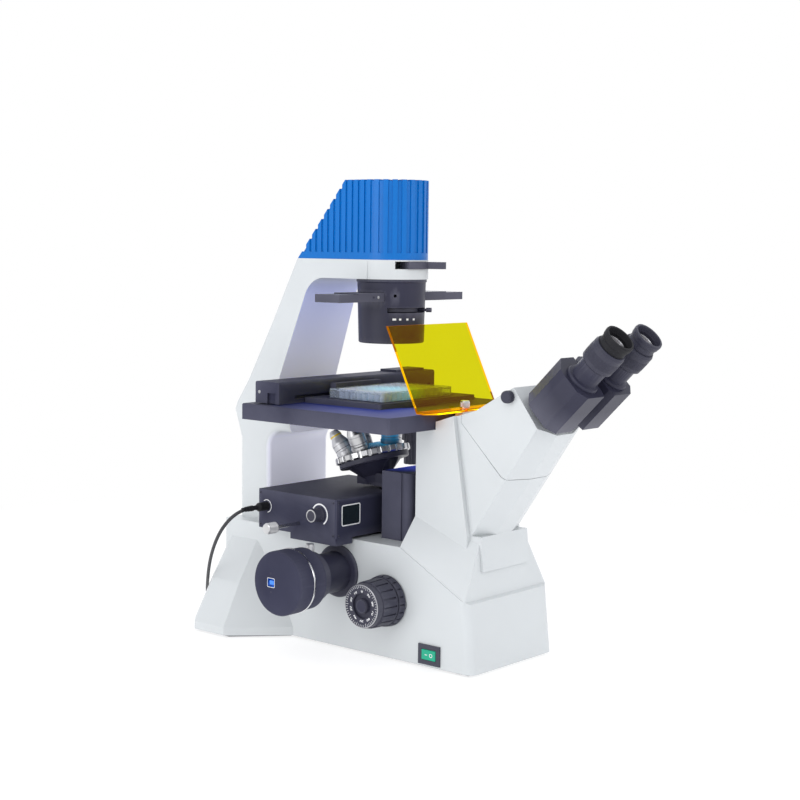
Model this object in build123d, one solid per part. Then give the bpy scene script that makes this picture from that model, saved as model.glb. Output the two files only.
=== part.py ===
from build123d import *
import math
import os

os.makedirs("parts", exist_ok=True)

# Inverted microscope, in millimetres: +Z up, -Y to the user, -X to the user's left.
# The origin is the foot of the optical axis on the bench.

# Driving sizes

RUNNING_FIT = 0.05
SEAT_GAP = 0.3
WALL = 6.0
CUT_REACH = 15.0

FOOT_RADIUS = 11.0
BASE_BOTTOM = 2.5
BASE_TOP = 129.0
BASE_HALF_WIDTH = 75.0
BASE_FRONT = -184.0
BASE_REAR = 206.0
FLARE_HALF_WIDTH = 132.0
FLARE_START = 82.0
FLARE_RIM = 12.0

COLUMN_HALF_WIDTH = 48.0
COLUMN_REAR = -80.0
NECK_HALF_WIDTH = 42.0
NECK_FOOT = (-168.0, 147.0)
NECK_TIP_LOW = (-246.0, 262.0)
NECK_TIP_HIGH = (-208.0, 312.0)
NECK_FLAT_HALF = 12.0
NECK_BEVEL_RISE = 11.0
HEAD_SEAM = 0.5
HEAD_SCREW = (-203.0, 302.0)
HEAD_SCREW_RADIUS = 2.0

STAGE_HALF_WIDTH = 125.0
STAGE_FRONT = -106.0
STAGE_REAR = 119.0
STAGE_THICKNESS = 18.0
STAGE_BOTTOM = 259.0
STAGE_HOLE_RADIUS = 50.0
INSERT_RADIUS = 55.0
INSERT_THICKNESS = 3.0
INSERT_HOLE_RADIUS = 15.0

REAR_COLUMN_HALF_WIDTH = 52.0
REAR_COLUMN_FRONT = 147.0
REAR_COLUMN_BACK = 196.0
ARM_TOP = 443.0
ARM_BAND = 22.0
ARM_HALF_WIDTH = 42.0
ARM_REAR_TOP = 110.0

LAMP_HEIGHT = 90.0
LAMP_RIB_PITCH = 9.4
LAMP_RIB_WIDTH = 5.6
LAMP_RIB_DEPTH = 1.4
LAMP_RIM = 8.0
LAMP_WALL = 3.0
LAMP_RIDGE = 36.0
LIGHT_BORE = 20.0

CONDENSER_RADIUS = 40.5
CONDENSER_FOOT_RADIUS = 37.5
CONDENSER_LENGTH = 73.0
CONDENSER_WALL = 6.0
SLIDER_HALF_LENGTH = 109.0
SLIDER_WIDTH = 38.0
SLIDER_THICKNESS = 10.0
SLIDER_DROP = 20.0
APERTURE_DROP = 15.0
FIELD_DROP = 6.0

NOSE_TILT = 18.0
NOSE_APEX = 134.0
SEAT_DISTANCE = 97.0
OBJECTIVE_COUNT = 5
OBJECTIVE_LENGTHS = (34.0, 28.0, 37.0, 32.0, 38.0)
RING_RADIUS = 43.5
RING_BOTTOM = 81.0
RING_NOTCHES = 24

CARRIER_HALF_WIDTH = 45.0
CARRIER_FRONT = -69.0
CARRIER_REAR = -28.0
CARRIER_TOP = 206.0
CARRIER_BOTTOM = 118.0

FOCUS_Y = -63.0
FOCUS_Z = 67.0
SHAFT_RADIUS = 6.0
FINE_SHAFT_RADIUS = 3.0
PINION_MODULE = 1.0
PINION_TEETH = 12
COARSE_RADIUS = 27.0
COARSE_LENGTH = 23.0
DIAL_RADIUS = 24.5
DIAL_LENGTH = 9.0
TENSION_RADIUS = 29.0
TENSION_LENGTH = 9.0

BOX_LEFT = -105.0
BOX_RIGHT = 50.0
BOX_FRONT = -13.0
BOX_REAR = 110.0
BOX_BOTTOM = 132.0
BOX_TOP = 177.0

CAMERA_Y = 10.0
CAMERA_Z = 90.0
CAMERA_RADIUS = 36.0
CAMERA_FACE = -175.0
CAMERA_BACK = -130.0
ADAPTER_RADIUS = 23.0
CAMERA_NOSE_RADIUS = 16.0

BINO_TILT = 45.0
HINGE_OFFSET = 8.0
TUBE_OFFSET = -14.0
EYE_HALF_SPACING = 27.0
HOUSING_START = 6.0
HOUSING_END = 62.0
TUBE_RADIUS = 15.2
TUBE_BORE = 11.6
TUBE_END = 86.0
EYEPIECE_RADIUS = 18.5
EYEPIECE_END = 112.0
CUP_END = 127.0

BEAM_INSET = 10.0
BEAM_OVERHANG = 36.0
BEAM_FRONT = 67.0
BEAM_REAR = 105.0
BEAM_HEIGHT = 25.0
RAIL_HEIGHT = 1.0
HOLDER_LEDGE = 2.0
HOLDER_LEFT = -75.0
HOLDER_RIGHT = 95.0
HOLDER_FRONT = -50.0
HOLDER_HEIGHT = 6.0
PLATE_LENGTH = 127.76
PLATE_DEPTH = 85.48
PLATE_HEIGHT = 14.2
PLATE_CLEARANCE = 0.4
WELL_PITCH = 9.0
WELL_RADIUS = 3.5
WELL_DEPTH = 10.7
STAGE_KNOB_REACH = 20.0
STAGE_KNOB_Y = 86.0

SHIELD_THICKNESS = 3.0
SHIELD_HALF_WIDTH = 70.0
SHIELD_BEND_Y = -98.0
SHIELD_FRONT = -119.0
SHIELD_TOP = 371.0
SHIELD_LEAN = 25.6
SHIELD_SCREW_Y = -110.0
SHIELD_SCREW_RADIUS = 2.0

SWITCH_Y = -125.5
SWITCH_Z = 16.0
SWITCH_WIDTH = 30.0
SWITCH_HEIGHT = 22.0
ROCKER_PIVOT = 3.0
ROCKER_PIN_RADIUS = 1.2

CORD_RADIUS = 2.0
CORD_LENGTH = 1500.0
COIL_TURN_RADIUS = 23.5
ADAPTER_LENGTH = 52.0
ADAPTER_WIDTH = 34.0
ADAPTER_DEPTH = 28.0
ADAPTER_TAIL = 26.0
PIN_SPACING = 19.0
PIN_RADIUS = 2.4
PIN_LENGTH = 18.0

STAGE_TOP = STAGE_BOTTOM + STAGE_THICKNESS
BEAM_LEFT = BEAM_INSET - STAGE_HALF_WIDTH
BEAM_RIGHT = STAGE_HALF_WIDTH + BEAM_OVERHANG
STAGE_KNOB_X = STAGE_HALF_WIDTH + STAGE_KNOB_REACH
ARM_BOTTOM = ARM_TOP - ARM_BAND
FIELD_HEIGHT = ARM_TOP - FIELD_DROP
SLIDER_HEIGHT = ARM_BOTTOM - SLIDER_DROP
APERTURE_HEIGHT = SLIDER_HEIGHT - APERTURE_DROP
LAMP_TOP = ARM_TOP + LAMP_HEIGHT


# Shape helpers

def block(x0, x1, y0, y1, z0, z1):
    """A box between two corners."""
    size = Box(x1 - x0, y1 - y0, z1 - z0)
    return Pos((x0 + x1) / 2, (y0 + y1) / 2, (z0 + z1) / 2) * size


def rod(start, direction, radius, length):
    """A round bar from a point along a direction."""
    plane = Plane(origin=start, z_dir=direction)
    return extrude(plane * Circle(radius), amount=length)


def tube(start, direction, radius, bore, length):
    """A round bar with a bore right through it."""
    return rod(start, direction, radius, length) - rod(start, direction, bore, length)


def turned(plane, points):
    """A solid of revolution: (radius, height) points about the plane's normal."""
    face = make_face(Plane.XZ * Polyline(*points, close=True))
    return plane * revolve(face, Axis.Z)


def side_profile(points, half_width):
    """A (y, z) outline made as wide as the casting, centred on the middle plane."""
    face = make_face(Plane.YZ * Polyline(*points, close=True))
    return extrude(face, amount=half_width, both=True)


def plan_profile(points, bottom, top):
    """An (x, y) outline raised between two heights."""
    face = make_face(Plane.XY.offset(bottom) * Polyline(*points, close=True))
    return extrude(face, amount=top - bottom)


def mirrored(points):
    """A half outline on the +X side, closed by its mirror image."""
    return points + [(-x, y) for x, y in reversed(points)]


def level_face(points, height):
    """A flat face at one height, for a loft."""
    return make_face(Plane.XY.offset(height) * Polyline(*points, close=True))


def save(shape, name):
    """Write one node."""
    solids = shape.solids()
    whole = solids[0] if len(solids) == 1 else Compound(children=list(solids))
    whole.label = name
    export_step(whole, f"parts/{name}.step")


# Base, columns and head

FRONT_LEAN = (NECK_FOOT[0] - BASE_FRONT) / NECK_FOOT[1]


def front_at(height):
    """Where the sloping front face stands at a height."""
    return BASE_FRONT + FRONT_LEAN * height


def flare_outline(half_width, start, rear, corner):
    """Half of the foot's outline, from the front kink to the back."""
    shoulder = rear - 66.0 + (FLARE_HALF_WIDTH - half_width) * 0.2
    return [(BASE_HALF_WIDTH - (FLARE_HALF_WIDTH - half_width) * 0.25, start),
            (half_width, shoulder),
            (half_width, rear - corner),
            (half_width - corner, rear)]


def flare(inset):
    """The skirt that spreads the rear of the base, or its hollow when inset."""
    rim = flare_outline(FLARE_HALF_WIDTH - inset, FLARE_START + inset, BASE_REAR - inset, 16.0)
    waist = flare_outline(108.0 - inset, 104.0 + inset, 200.0 - inset, 16.0)
    crown = flare_outline(60.0 - inset, 132.0, REAR_COLUMN_BACK - inset, 10.0)
    low = BASE_BOTTOM
    foot = plan_profile(mirrored(rim), low, FLARE_RIM)
    skirt = loft([level_face(mirrored(rim), FLARE_RIM), level_face(mirrored(waist), 62.0 - inset)], ruled=True)
    shoulder = loft([level_face(mirrored(waist), 62.0 - inset), level_face(mirrored(crown), BASE_TOP - inset)],
                    ruled=True)
    return foot + skirt + shoulder


SHOULDER_LOW = 78.0
COLUMN_TOP_FRONT = -107.5


def column_outline():
    """The front column behind the neck's step line, up to the stage and the shield's seat."""
    return [(COLUMN_REAR, BASE_TOP - 20.0), (COLUMN_REAR, STAGE_BOTTOM), (COLUMN_TOP_FRONT, STAGE_BOTTOM),
            (COLUMN_TOP_FRONT, 268.0), (-132.0, 276.0), (-153.0, 147.0), (-153.0, BASE_TOP - 20.0)]


def neck_outline():
    """The whole inclined head in side view."""
    return [(-120.0, BASE_TOP - 20.0), (-120.0, 268.0), (-132.0, 275.4), (-159.0, 284.0), (-188.0, 301.0),
            NECK_TIP_HIGH, NECK_TIP_LOW, NECK_FOOT, (front_at(BASE_TOP - 20.0), BASE_TOP - 20.0)]


def neck_body():
    """The neck with its two long bevels along the underside."""
    body = side_profile(neck_outline(), NECK_HALF_WIDTH)
    run = (0, NECK_TIP_LOW[0] - NECK_FOOT[0], NECK_TIP_LOW[1] - NECK_FOOT[1])
    plane = Plane(origin=(0, *NECK_FOOT), x_dir=(1, 0, 0), z_dir=run)
    edge = NECK_HALF_WIDTH + 1.0
    for side in (1, -1):
        corner = Polyline((side * NECK_FLAT_HALF, -1.0), (side * edge, -1.0), (side * edge, NECK_BEVEL_RISE),
                          close=True)
        cut = extrude(plane * make_face(corner), amount=200.0, both=True)
        keep_low = block(-90, 90, -300, 0, 0, NECK_FOOT[1] - 0.5)
        body -= cut - keep_low
    return body


def head_region(gap):
    """The part of the neck above the cover's seam."""
    points = [(-138.0 - gap, 300.0), (-138.0 - gap, 269.0), (-193.0 - gap, 215.0 + gap), (-201.0, 212.0 + gap),
              (-270.0, 212.0 + gap), (-270.0, 340.0), (-138.0 - gap, 340.0)]
    return side_profile(points, 90.0)


def base_casting():
    """Base, front column and lower neck in one casting, open underneath."""
    walls = [(BASE_FRONT + FRONT_LEAN * BASE_BOTTOM, BASE_BOTTOM), (front_at(SHOULDER_LOW), SHOULDER_LOW),
             (COLUMN_REAR, BASE_TOP), (REAR_COLUMN_BACK, BASE_TOP), (REAR_COLUMN_BACK, BASE_BOTTOM)]
    body = side_profile(walls, BASE_HALF_WIDTH)
    upright = body.edges().filter_by(Axis.X, reverse=True)
    front_corners = upright.filter_by(lambda e: e.center().Y < -160 and e.center().Z < 60)
    body = fillet(front_corners, radius=10.0)
    body += flare(0.0)
    shoulder_low = Polyline((-BASE_HALF_WIDTH + 0.6, front_at(SHOULDER_LOW) + 4.0, SHOULDER_LOW + 1.0),
                            (BASE_HALF_WIDTH - 0.6, front_at(SHOULDER_LOW) + 4.0, SHOULDER_LOW + 1.0),
                            (BASE_HALF_WIDTH - 0.6, COLUMN_REAR, BASE_TOP - 1.0),
                            (-BASE_HALF_WIDTH + 0.6, COLUMN_REAR, BASE_TOP - 1.0), close=True)
    shoulder_high = Polyline((-NECK_HALF_WIDTH, front_at(138.0) + 3.0, 138.0),
                             (NECK_HALF_WIDTH, front_at(138.0) + 3.0, 138.0),
                             (NECK_HALF_WIDTH, COLUMN_REAR, 168.0),
                             (-NECK_HALF_WIDTH, COLUMN_REAR, 168.0), close=True)
    body += loft([make_face(shoulder_low), make_face(shoulder_high)], ruled=True)
    body += side_profile(column_outline(), COLUMN_HALF_WIDTH)
    body += neck_body() - head_region(0.0)
    body += block(-22, 22, CARRIER_FRONT - 11.5, CARRIER_FRONT - SEAT_GAP, BASE_TOP - 5, 215)
    body += block(-14, 14, COLUMN_TOP_FRONT - 10.5, COLUMN_TOP_FRONT, STAGE_BOTTOM + 3, STAGE_TOP)
    body -= base_hollow()
    body -= shield_screw_hole()
    body -= block(-CARRIER_HALF_WIDTH - 1, CARRIER_HALF_WIDTH + 1, CARRIER_FRONT - SEAT_GAP, CARRIER_REAR + 1,
                  BASE_TOP - WALL - 2, BASE_TOP + 1)
    body -= rod((0, 0, 100), (0, 0, 1), LIGHT_BORE, 40)
    outside = BASE_HALF_WIDTH + CUT_REACH
    inner_wall = BASE_HALF_WIDTH - CUT_REACH
    body -= rod((-outside, CAMERA_Y, CAMERA_Z), (1, 0, 0), CAMERA_NOSE_RADIUS, 60)
    body -= rod((-outside, FOCUS_Y, FOCUS_Z), (1, 0, 0), SHAFT_RADIUS + RUNNING_FIT, 2 * outside)
    body -= switch_hole()
    body -= inlet_hole()
    body -= rod((inner_wall, BRIGHTNESS_Y, BRIGHTNESS_Z), (1, 0, 0), 3.0 + RUNNING_FIT, 2 * CUT_REACH)
    return body


def base_hollow():
    """The inside of the base, the column and the lower neck."""
    room = [(front_at(0) + WALL + 3, 0), (front_at(SHOULDER_LOW) + WALL + 1, SHOULDER_LOW - WALL),
            (COLUMN_REAR, BASE_TOP - WALL), (REAR_COLUMN_BACK - WALL, BASE_TOP - WALL),
            (REAR_COLUMN_BACK - WALL, 0)]
    inside = side_profile(room, BASE_HALF_WIDTH - WALL)
    inside += flare(WALL) - block(-200, 200, 0, 300, -1, BASE_BOTTOM + 2)
    inside += block(-FLARE_HALF_WIDTH + 16, FLARE_HALF_WIDTH - 16, 128, BASE_REAR - 10, 0, 8)
    shaft = [(COLUMN_REAR - WALL, 60), (COLUMN_REAR - WALL, 250), (-110, 250), (-128, 262), (-138, 262),
             (-184, 209), (-194, 206), (-197, 206), (-160, 150), (-154, 60)]
    inside += side_profile(shaft, NECK_FLAT_HALF + WALL)
    return inside


def switch_hole():
    """The cut-out that the power switch snaps into."""
    half_y = SWITCH_WIDTH / 2 - 2.5
    half_z = SWITCH_HEIGHT / 2 - 2.5
    return block(-BASE_HALF_WIDTH - CUT_REACH, -BASE_HALF_WIDTH + CUT_REACH, SWITCH_Y - half_y,
                 SWITCH_Y + half_y, SWITCH_Z - half_z, SWITCH_Z + half_z)


INLET_X = -35.0
INLET_Z = 40.0
INLET_WIDTH = 30.0
INLET_HEIGHT = 24.0


def inlet_hole():
    """The cut-out for the mains inlet at the back."""
    return block(INLET_X - INLET_WIDTH / 2, INLET_X + INLET_WIDTH / 2, 170, 220,
                 INLET_Z - INLET_HEIGHT / 2, INLET_Z + INLET_HEIGHT / 2)


BRIGHTNESS_Y = -118.0
BRIGHTNESS_Z = 58.0


def base_plate():
    """The sheet that closes the base from below."""
    rim = flare_outline(FLARE_HALF_WIDTH - 5, FLARE_START + 5, BASE_REAR - 5, 14.0)
    sheet = plan_profile(mirrored(rim), BASE_BOTTOM - 1.5, BASE_BOTTOM)
    sheet += block(-BASE_HALF_WIDTH + 4, BASE_HALF_WIDTH - 4, BASE_FRONT + 8, FLARE_START + 30,
                   BASE_BOTTOM - 1.5, BASE_BOTTOM)
    for x, y in foot_places():
        sheet -= rod((x, y, -1), (0, 0, 1), FOOT_RADIUS - 3, 10)
    return sheet


def foot_places():
    """Centres of the four feet."""
    front = BASE_FRONT + 24
    rear = BASE_REAR - 30
    half_front = BASE_HALF_WIDTH - 17
    half_rear = FLARE_HALF_WIDTH - 28
    return [(-half_front, front), (half_front, front), (-half_rear, rear), (half_rear, rear)]


def rubber_feet():
    """Four feet, each with a spigot through the base plate."""
    feet = []
    for x, y in foot_places():
        pad = rod((x, y, 0), (0, 0, 1), FOOT_RADIUS, BASE_BOTTOM - 1.5)
        pad = chamfer(pad.faces().sort_by(Axis.Z)[0].edges(), 0.4)
        spigot = rod((x, y, BASE_BOTTOM - 1.5), (0, 0, 1), FOOT_RADIUS - 3, 1.5)
        feet.append(pad + spigot)
    return Compound(children=feet)


def head_cover():
    """The upper head: a hollow cover round the relay optics, open at the eyepiece end."""
    body = neck_body() & head_region(HEAD_SEAM)
    room = [(-150, 266), (-188, 231), (-200, 222), (-217, 236), (-234, 260), (-210, 303), (-188, 294),
            (-160, 278)]
    body -= side_profile(room, NECK_FLAT_HALF + WALL)
    axis_start = bino_point(0, TUBE_OFFSET / 2, -30)
    body -= rod(axis_start, BINO_DIRECTION, LIGHT_BORE, 60)
    body -= rod((-60, *HEAD_SCREW), (1, 0, 0), HEAD_SCREW_RADIUS + RUNNING_FIT, 30)
    return body


def rear_column():
    """The column behind the box, with the arch that carries the stage's rear edge."""
    outline = [(REAR_COLUMN_FRONT, BASE_TOP), (REAR_COLUMN_FRONT, 237), (111, 237), (111, STAGE_BOTTOM),
               (REAR_COLUMN_BACK + 8, STAGE_BOTTOM), (REAR_COLUMN_BACK, 236), (REAR_COLUMN_BACK, BASE_TOP)]
    body = side_profile(outline, REAR_COLUMN_HALF_WIDTH)
    arch = body.edges().filter_by(Axis.X).sort_by_distance((0, REAR_COLUMN_FRONT, 237))[0]
    body = fillet(arch, radius=20.0)
    uprights = body.edges().filter_by(Axis.Z).filter_by(lambda e: e.center().Y > 140)
    body = fillet(uprights, radius=6.0)
    body -= block(-30, 30, REAR_COLUMN_FRONT + 12, REAR_COLUMN_BACK - 10, BASE_TOP, 225)
    return body


def pillar_arm():
    """The leaning pillar and the arm that holds the lamp over the stage."""
    soffit_end = 88.0
    outline = [(0, ARM_BOTTOM), (soffit_end, ARM_BOTTOM), (REAR_COLUMN_FRONT, STAGE_BOTTOM),
               (REAR_COLUMN_BACK + 8, STAGE_BOTTOM), (201, 268), (183, 296), (148, 364),
               (ARM_REAR_TOP, ARM_TOP), (0, ARM_TOP)]
    body = side_profile(outline, REAR_COLUMN_HALF_WIDTH)
    corner = body.edges().filter_by(Axis.X).sort_by_distance((0, soffit_end, ARM_BOTTOM))[0]
    body = fillet(corner, radius=30.0)
    taper = make_face(Plane.XZ.offset(-260) * Polyline(
        (-REAR_COLUMN_HALF_WIDTH, STAGE_BOTTOM), (REAR_COLUMN_HALF_WIDTH, STAGE_BOTTOM),
        (ARM_HALF_WIDTH, ARM_TOP), (-ARM_HALF_WIDTH, ARM_TOP), close=True))
    body &= extrude(taper, amount=400)
    body += rod((0, 0, ARM_BOTTOM), (0, 0, 1), ARM_HALF_WIDTH, ARM_BAND)
    body -= rod((0, 0, ARM_BOTTOM - 1), (0, 0, 1), LIGHT_BORE, ARM_BAND + 2)
    body -= field_slot()
    return body


def field_slot():
    """The slot in the arm's nose that the field diaphragm lever swings in."""
    ring = tube((0, 0, FIELD_HEIGHT - 4.3), (0, 0, 1), 60, LIGHT_BORE - 1, 8.6)
    return ring & sector(226, 330, 90)


def sector(first, last, radius):
    """A pie slice about the optical axis, between two angles from +X, tall enough for any cut."""
    points = [(0.0, 0.0)]
    steps = 6
    for i in range(steps + 1):
        angle = math.radians(first + (last - first) * i / steps)
        points.append((radius * math.cos(angle), radius * math.sin(angle)))
    return plan_profile(points, 0, LAMP_TOP)


# Lamp

def lamp_outline(inset):
    """Side view of the lamp housing behind the optical axis."""
    slope = (ARM_REAR_TOP - LAMP_RIDGE) / LAMP_HEIGHT
    back = ARM_REAR_TOP - inset * math.hypot(1, slope)
    top = LAMP_TOP - inset
    return [(0, ARM_TOP), (back, ARM_TOP), (back - slope * (top - ARM_TOP), top), (0, top)]


def lamp_form(inset):
    """The lamp housing's plain form, smaller all round by the inset."""
    radius = ARM_HALF_WIDTH - 0.5 - inset
    return side_profile(lamp_outline(inset), radius) + rod((0, 0, ARM_TOP), (0, 0, 1), radius,
                                                          LAMP_HEIGHT - inset)


def lamp_cover():
    """The lamp housing, ribbed round its sides and stepped down its sloping back."""
    outer = lamp_form(0)
    body = lamp_form(LAMP_RIB_DEPTH)
    body += outer & block(-60, 60, -60, 130, ARM_TOP, ARM_TOP + LAMP_RIM)
    half = LAMP_RIB_WIDTH / 2
    low = ARM_TOP + LAMP_RIM - 1
    count = int((ARM_REAR_TOP - 8) / LAMP_RIB_PITCH)
    for i in range(1, count + 1):
        y = i * LAMP_RIB_PITCH
        body += outer & block(-60, 60, y - half, y + half, low, LAMP_TOP)
    ribs = 12
    for i in range(ribs + 1):
        turn = 180.0 + 180.0 * i / ribs
        rib = block(0, 60, -half, half, low, LAMP_TOP)
        body += outer & (Rot(0, 0, turn) * rib)
    body -= lamp_form(LAMP_RIB_DEPTH + LAMP_WALL) - block(-60, 60, -60, 130, 0, ARM_TOP - 1)
    return body


def led_module():
    """The light source: a finned heat sink over its board, on four pillars."""
    floor = ARM_TOP + 14
    sink = block(-26, 26, -26, 26, floor, floor + 8)
    for i in range(7):
        x = -24 + i * 8
        sink += block(x - 1, x + 1, -26, 26, floor + 8, floor + 38)
    for x in (-22, 22):
        for y in (-22, 22):
            sink += rod((x, y, ARM_TOP), (0, 0, 1), 2.5, 14.5)
    sink += block(-7, 7, -7, 7, floor - 2, floor)
    return sink


def lens(height, radius, thickness, bulge):
    """A plano-convex lens on the optical axis with its flat face down."""
    rim = height + thickness
    sphere_radius = (radius ** 2 + bulge ** 2) / (2 * bulge)
    half = math.asin(radius / sphere_radius) / 2
    middle = (sphere_radius * math.sin(half), rim + bulge - sphere_radius * (1 - math.cos(half)))
    outline = Polyline((0, rim + bulge), (0, height), (radius, height), (radius, rim))
    outline += ThreePointArc((radius, rim), middle, (0, rim + bulge))
    return revolve(make_face(Plane.XZ * outline), Axis.Z)


# Condenser

def condenser_housing():
    """The tapered barrel under the arm, slotted for the slider and the aperture lever."""
    top = ARM_BOTTOM
    foot = top - CONDENSER_LENGTH
    bore = CONDENSER_FOOT_RADIUS - CONDENSER_WALL
    points = [(bore - 4, foot), (CONDENSER_FOOT_RADIUS - 1, foot), (CONDENSER_FOOT_RADIUS, foot + 1),
              (CONDENSER_RADIUS - 1, top - 4), (CONDENSER_RADIUS, top - 3), (CONDENSER_RADIUS, top),
              (LIGHT_BORE, top), (LIGHT_BORE, top - 8), (bore, top - 8), (bore, foot + 3), (bore - 4, foot + 3)]
    body = turned(Plane.XY, points)
    half = SLIDER_THICKNESS / 2 + SEAT_GAP
    side = SLIDER_WIDTH / 2 + SEAT_GAP
    body -= block(-60, 60, -side, side, SLIDER_HEIGHT - half, SLIDER_HEIGHT + half)
    ring = tube((0, 0, APERTURE_HEIGHT - 2.8), (0, 0, 1), 60, bore - 1, 5.6)
    body -= ring & sector(214, 308, 90)
    body -= rod((0, 0, SLIDER_HEIGHT + 1.5), (math.cos(math.radians(227)), math.sin(math.radians(227)), 0), 1.8, 60)
    return body


def phase_slider():
    """The long slider with three annulus openings and a grip at each end."""
    half_t = SLIDER_THICKNESS / 2
    half_w = SLIDER_WIDTH / 2
    bar = block(-SLIDER_HALF_LENGTH, SLIDER_HALF_LENGTH, -half_w, half_w, SLIDER_HEIGHT - half_t,
                SLIDER_HEIGHT + half_t)
    for x in (-40, 0, 40):
        bar -= rod((x, 0, SLIDER_HEIGHT - 20), (0, 0, 1), 13, 40)
    for side in (-1, 1):
        grip = block(74, 120, -half_w - 1, -half_w + 1.2, SLIDER_HEIGHT - 20, SLIDER_HEIGHT + 20)
        bar -= grip if side > 0 else Rot(0, 0, 180) * grip
        low = block(78, 120, -30, 30, SLIDER_HEIGHT + half_t - 1.2, SLIDER_HEIGHT + 20)
        bar -= low if side > 0 else Rot(0, 0, 180) * low
    return bar


APERTURE_ANGLE = 299.0


def aperture_lever():
    """The iris ring inside the barrel with the small lever that sticks out of its slot."""
    bore = CONDENSER_FOOT_RADIUS - CONDENSER_WALL
    ring = tube((0, 0, APERTURE_HEIGHT - 2), (0, 0, 1), bore - SEAT_GAP, 24, 4)
    angle = math.radians(APERTURE_ANGLE)
    outward = (math.cos(angle), math.sin(angle), 0)
    start = (27 * outward[0], 27 * outward[1], APERTURE_HEIGHT)
    knob = (41 * outward[0], 41 * outward[1], APERTURE_HEIGHT)
    ring += rod(start, outward, 1.6, 18) - rod((0, 0, APERTURE_HEIGHT - 10), (0, 0, 1), 24, 20)
    return ring + rod(knob, outward, 2.6, 6)


def condenser_lens():
    """The front lens that seats on the barrel's lower lip."""
    foot = ARM_BOTTOM - CONDENSER_LENGTH
    return lens(foot + 3, CONDENSER_FOOT_RADIUS - CONDENSER_WALL - 0.1, 5, 6)


FIELD_ANGLE = 292.0


def field_lever():
    """The field diaphragm's ring segment with its flat lever."""
    pad = tube((0, 0, FIELD_HEIGHT - 4), (0, 0, 1), ARM_HALF_WIDTH + 3, LIGHT_BORE + 3, 8) & sector(246, 306, 90)
    arm = block(30, ARM_HALF_WIDTH + 17, -6, 6, FIELD_HEIGHT - 4, FIELD_HEIGHT + 4)
    tip = rod((ARM_HALF_WIDTH + 17, 0, FIELD_HEIGHT - 4), (0, 0, 1), 6, 8)
    return pad + Rot(0, 0, FIELD_ANGLE) * (arm + tip)


# Stage

def stage_plate():
    """The black stage with its stepped round opening and the rail for the moving beam."""
    body = block(-STAGE_HALF_WIDTH, STAGE_HALF_WIDTH, STAGE_FRONT, STAGE_REAR, STAGE_BOTTOM, STAGE_TOP)
    body = chamfer(body.edges().filter_by(Axis.Z), 2.5)
    body = chamfer(body.faces().sort_by(Axis.Z)[-1].edges(), 1.0)
    body -= rod((0, 0, STAGE_BOTTOM - 1), (0, 0, 1), STAGE_HOLE_RADIUS, STAGE_THICKNESS + 2)
    body -= rod((0, 0, STAGE_TOP - INSERT_THICKNESS), (0, 0, 1), INSERT_RADIUS + 0.2, 10)
    body -= rod((0, 22, STAGE_BOTTOM - 1), (0, 0, 1), STAGE_HOLE_RADIUS + 26, 7)
    body += block(STAGE_HALF_WIDTH - 24, STAGE_HALF_WIDTH - 4, -30, STAGE_REAR - 4, STAGE_TOP,
                  STAGE_TOP + RAIL_HEIGHT)
    return body


def stage_insert():
    """The round plate that closes the stage opening down to the viewing hole."""
    top = STAGE_TOP
    return tube((0, 0, top - INSERT_THICKNESS), (0, 0, 1), INSERT_RADIUS, INSERT_HOLE_RADIUS, INSERT_THICKNESS)


def stage_beam():
    """The long beam of the mechanical stage with its end block and knob housing."""
    low = STAGE_TOP + RAIL_HEIGHT + SEAT_GAP
    body = block(BEAM_LEFT, BEAM_RIGHT, BEAM_FRONT, BEAM_REAR, low, low + BEAM_HEIGHT)
    long_edges = body.edges().filter_by(Axis.X).filter_by(lambda e: e.center().Z > low + 1)
    body = fillet(long_edges, radius=3.0)
    body -= block(BEAM_LEFT + 26, BEAM_RIGHT - 8, BEAM_FRONT - 1, BEAM_FRONT + 5, low + 5, low + 9)
    body -= block(BEAM_LEFT - 1, BEAM_LEFT + 3, BEAM_FRONT + 6, BEAM_FRONT + 19, low - 1, low + 12)
    body += block(95, BEAM_RIGHT - 14, BEAM_FRONT + 6, BEAM_REAR - 6, low + BEAM_HEIGHT, low + BEAM_HEIGHT + 3)
    body -= rod((STAGE_KNOB_X, STAGE_KNOB_Y, low - 1), (0, 0, 1), STAGE_OUTER_SHAFT + RUNNING_FIT, 16)
    return body


STAGE_OUTER_SHAFT = 4.0
STAGE_INNER_SHAFT = 2.0
KNOB_SPLIT = 214.0


def stage_y_knob():
    """The upper drop-down knob on its hollow shaft."""
    low = STAGE_TOP + RAIL_HEIGHT + SEAT_GAP
    axis = (STAGE_KNOB_X, STAGE_KNOB_Y)
    knob = Plane((*axis, KNOB_SPLIT + 0.4)) * Cylinder(15, 20, align=(Align.CENTER, Align.CENTER, Align.MIN))
    knob = flutes(knob, axis, 15, KNOB_SPLIT, 12)
    shaft = rod((*axis, KNOB_SPLIT + 10), (0, 0, 1), STAGE_OUTER_SHAFT, low + 14 - KNOB_SPLIT - 10)
    return knob + shaft - rod((*axis, 150), (0, 0, 1), STAGE_INNER_SHAFT + RUNNING_FIT, 200)


def stage_x_knob():
    """The lower drop-down knob on the inner shaft."""
    axis = (STAGE_KNOB_X, STAGE_KNOB_Y)
    knob = rod((*axis, KNOB_SPLIT - 30), (0, 0, 1), 12, 30)
    knob = flutes(knob, axis, 12, KNOB_SPLIT - 40, 10)
    low = STAGE_TOP + RAIL_HEIGHT + SEAT_GAP
    return knob + rod((*axis, KNOB_SPLIT - 5), (0, 0, 1), STAGE_INNER_SHAFT, low + 12 - KNOB_SPLIT)


def flutes(knob, axis, radius, bottom, count):
    """Finger flutes round an upright knob."""
    for i in range(count):
        angle = 2 * math.pi * i / count
        centre = (axis[0] + (radius + 1.6) * math.cos(angle), axis[1] + (radius + 1.6) * math.sin(angle), bottom)
        knob -= rod(centre, (0, 0, 1), 2.4, 60)
    return knob


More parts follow.
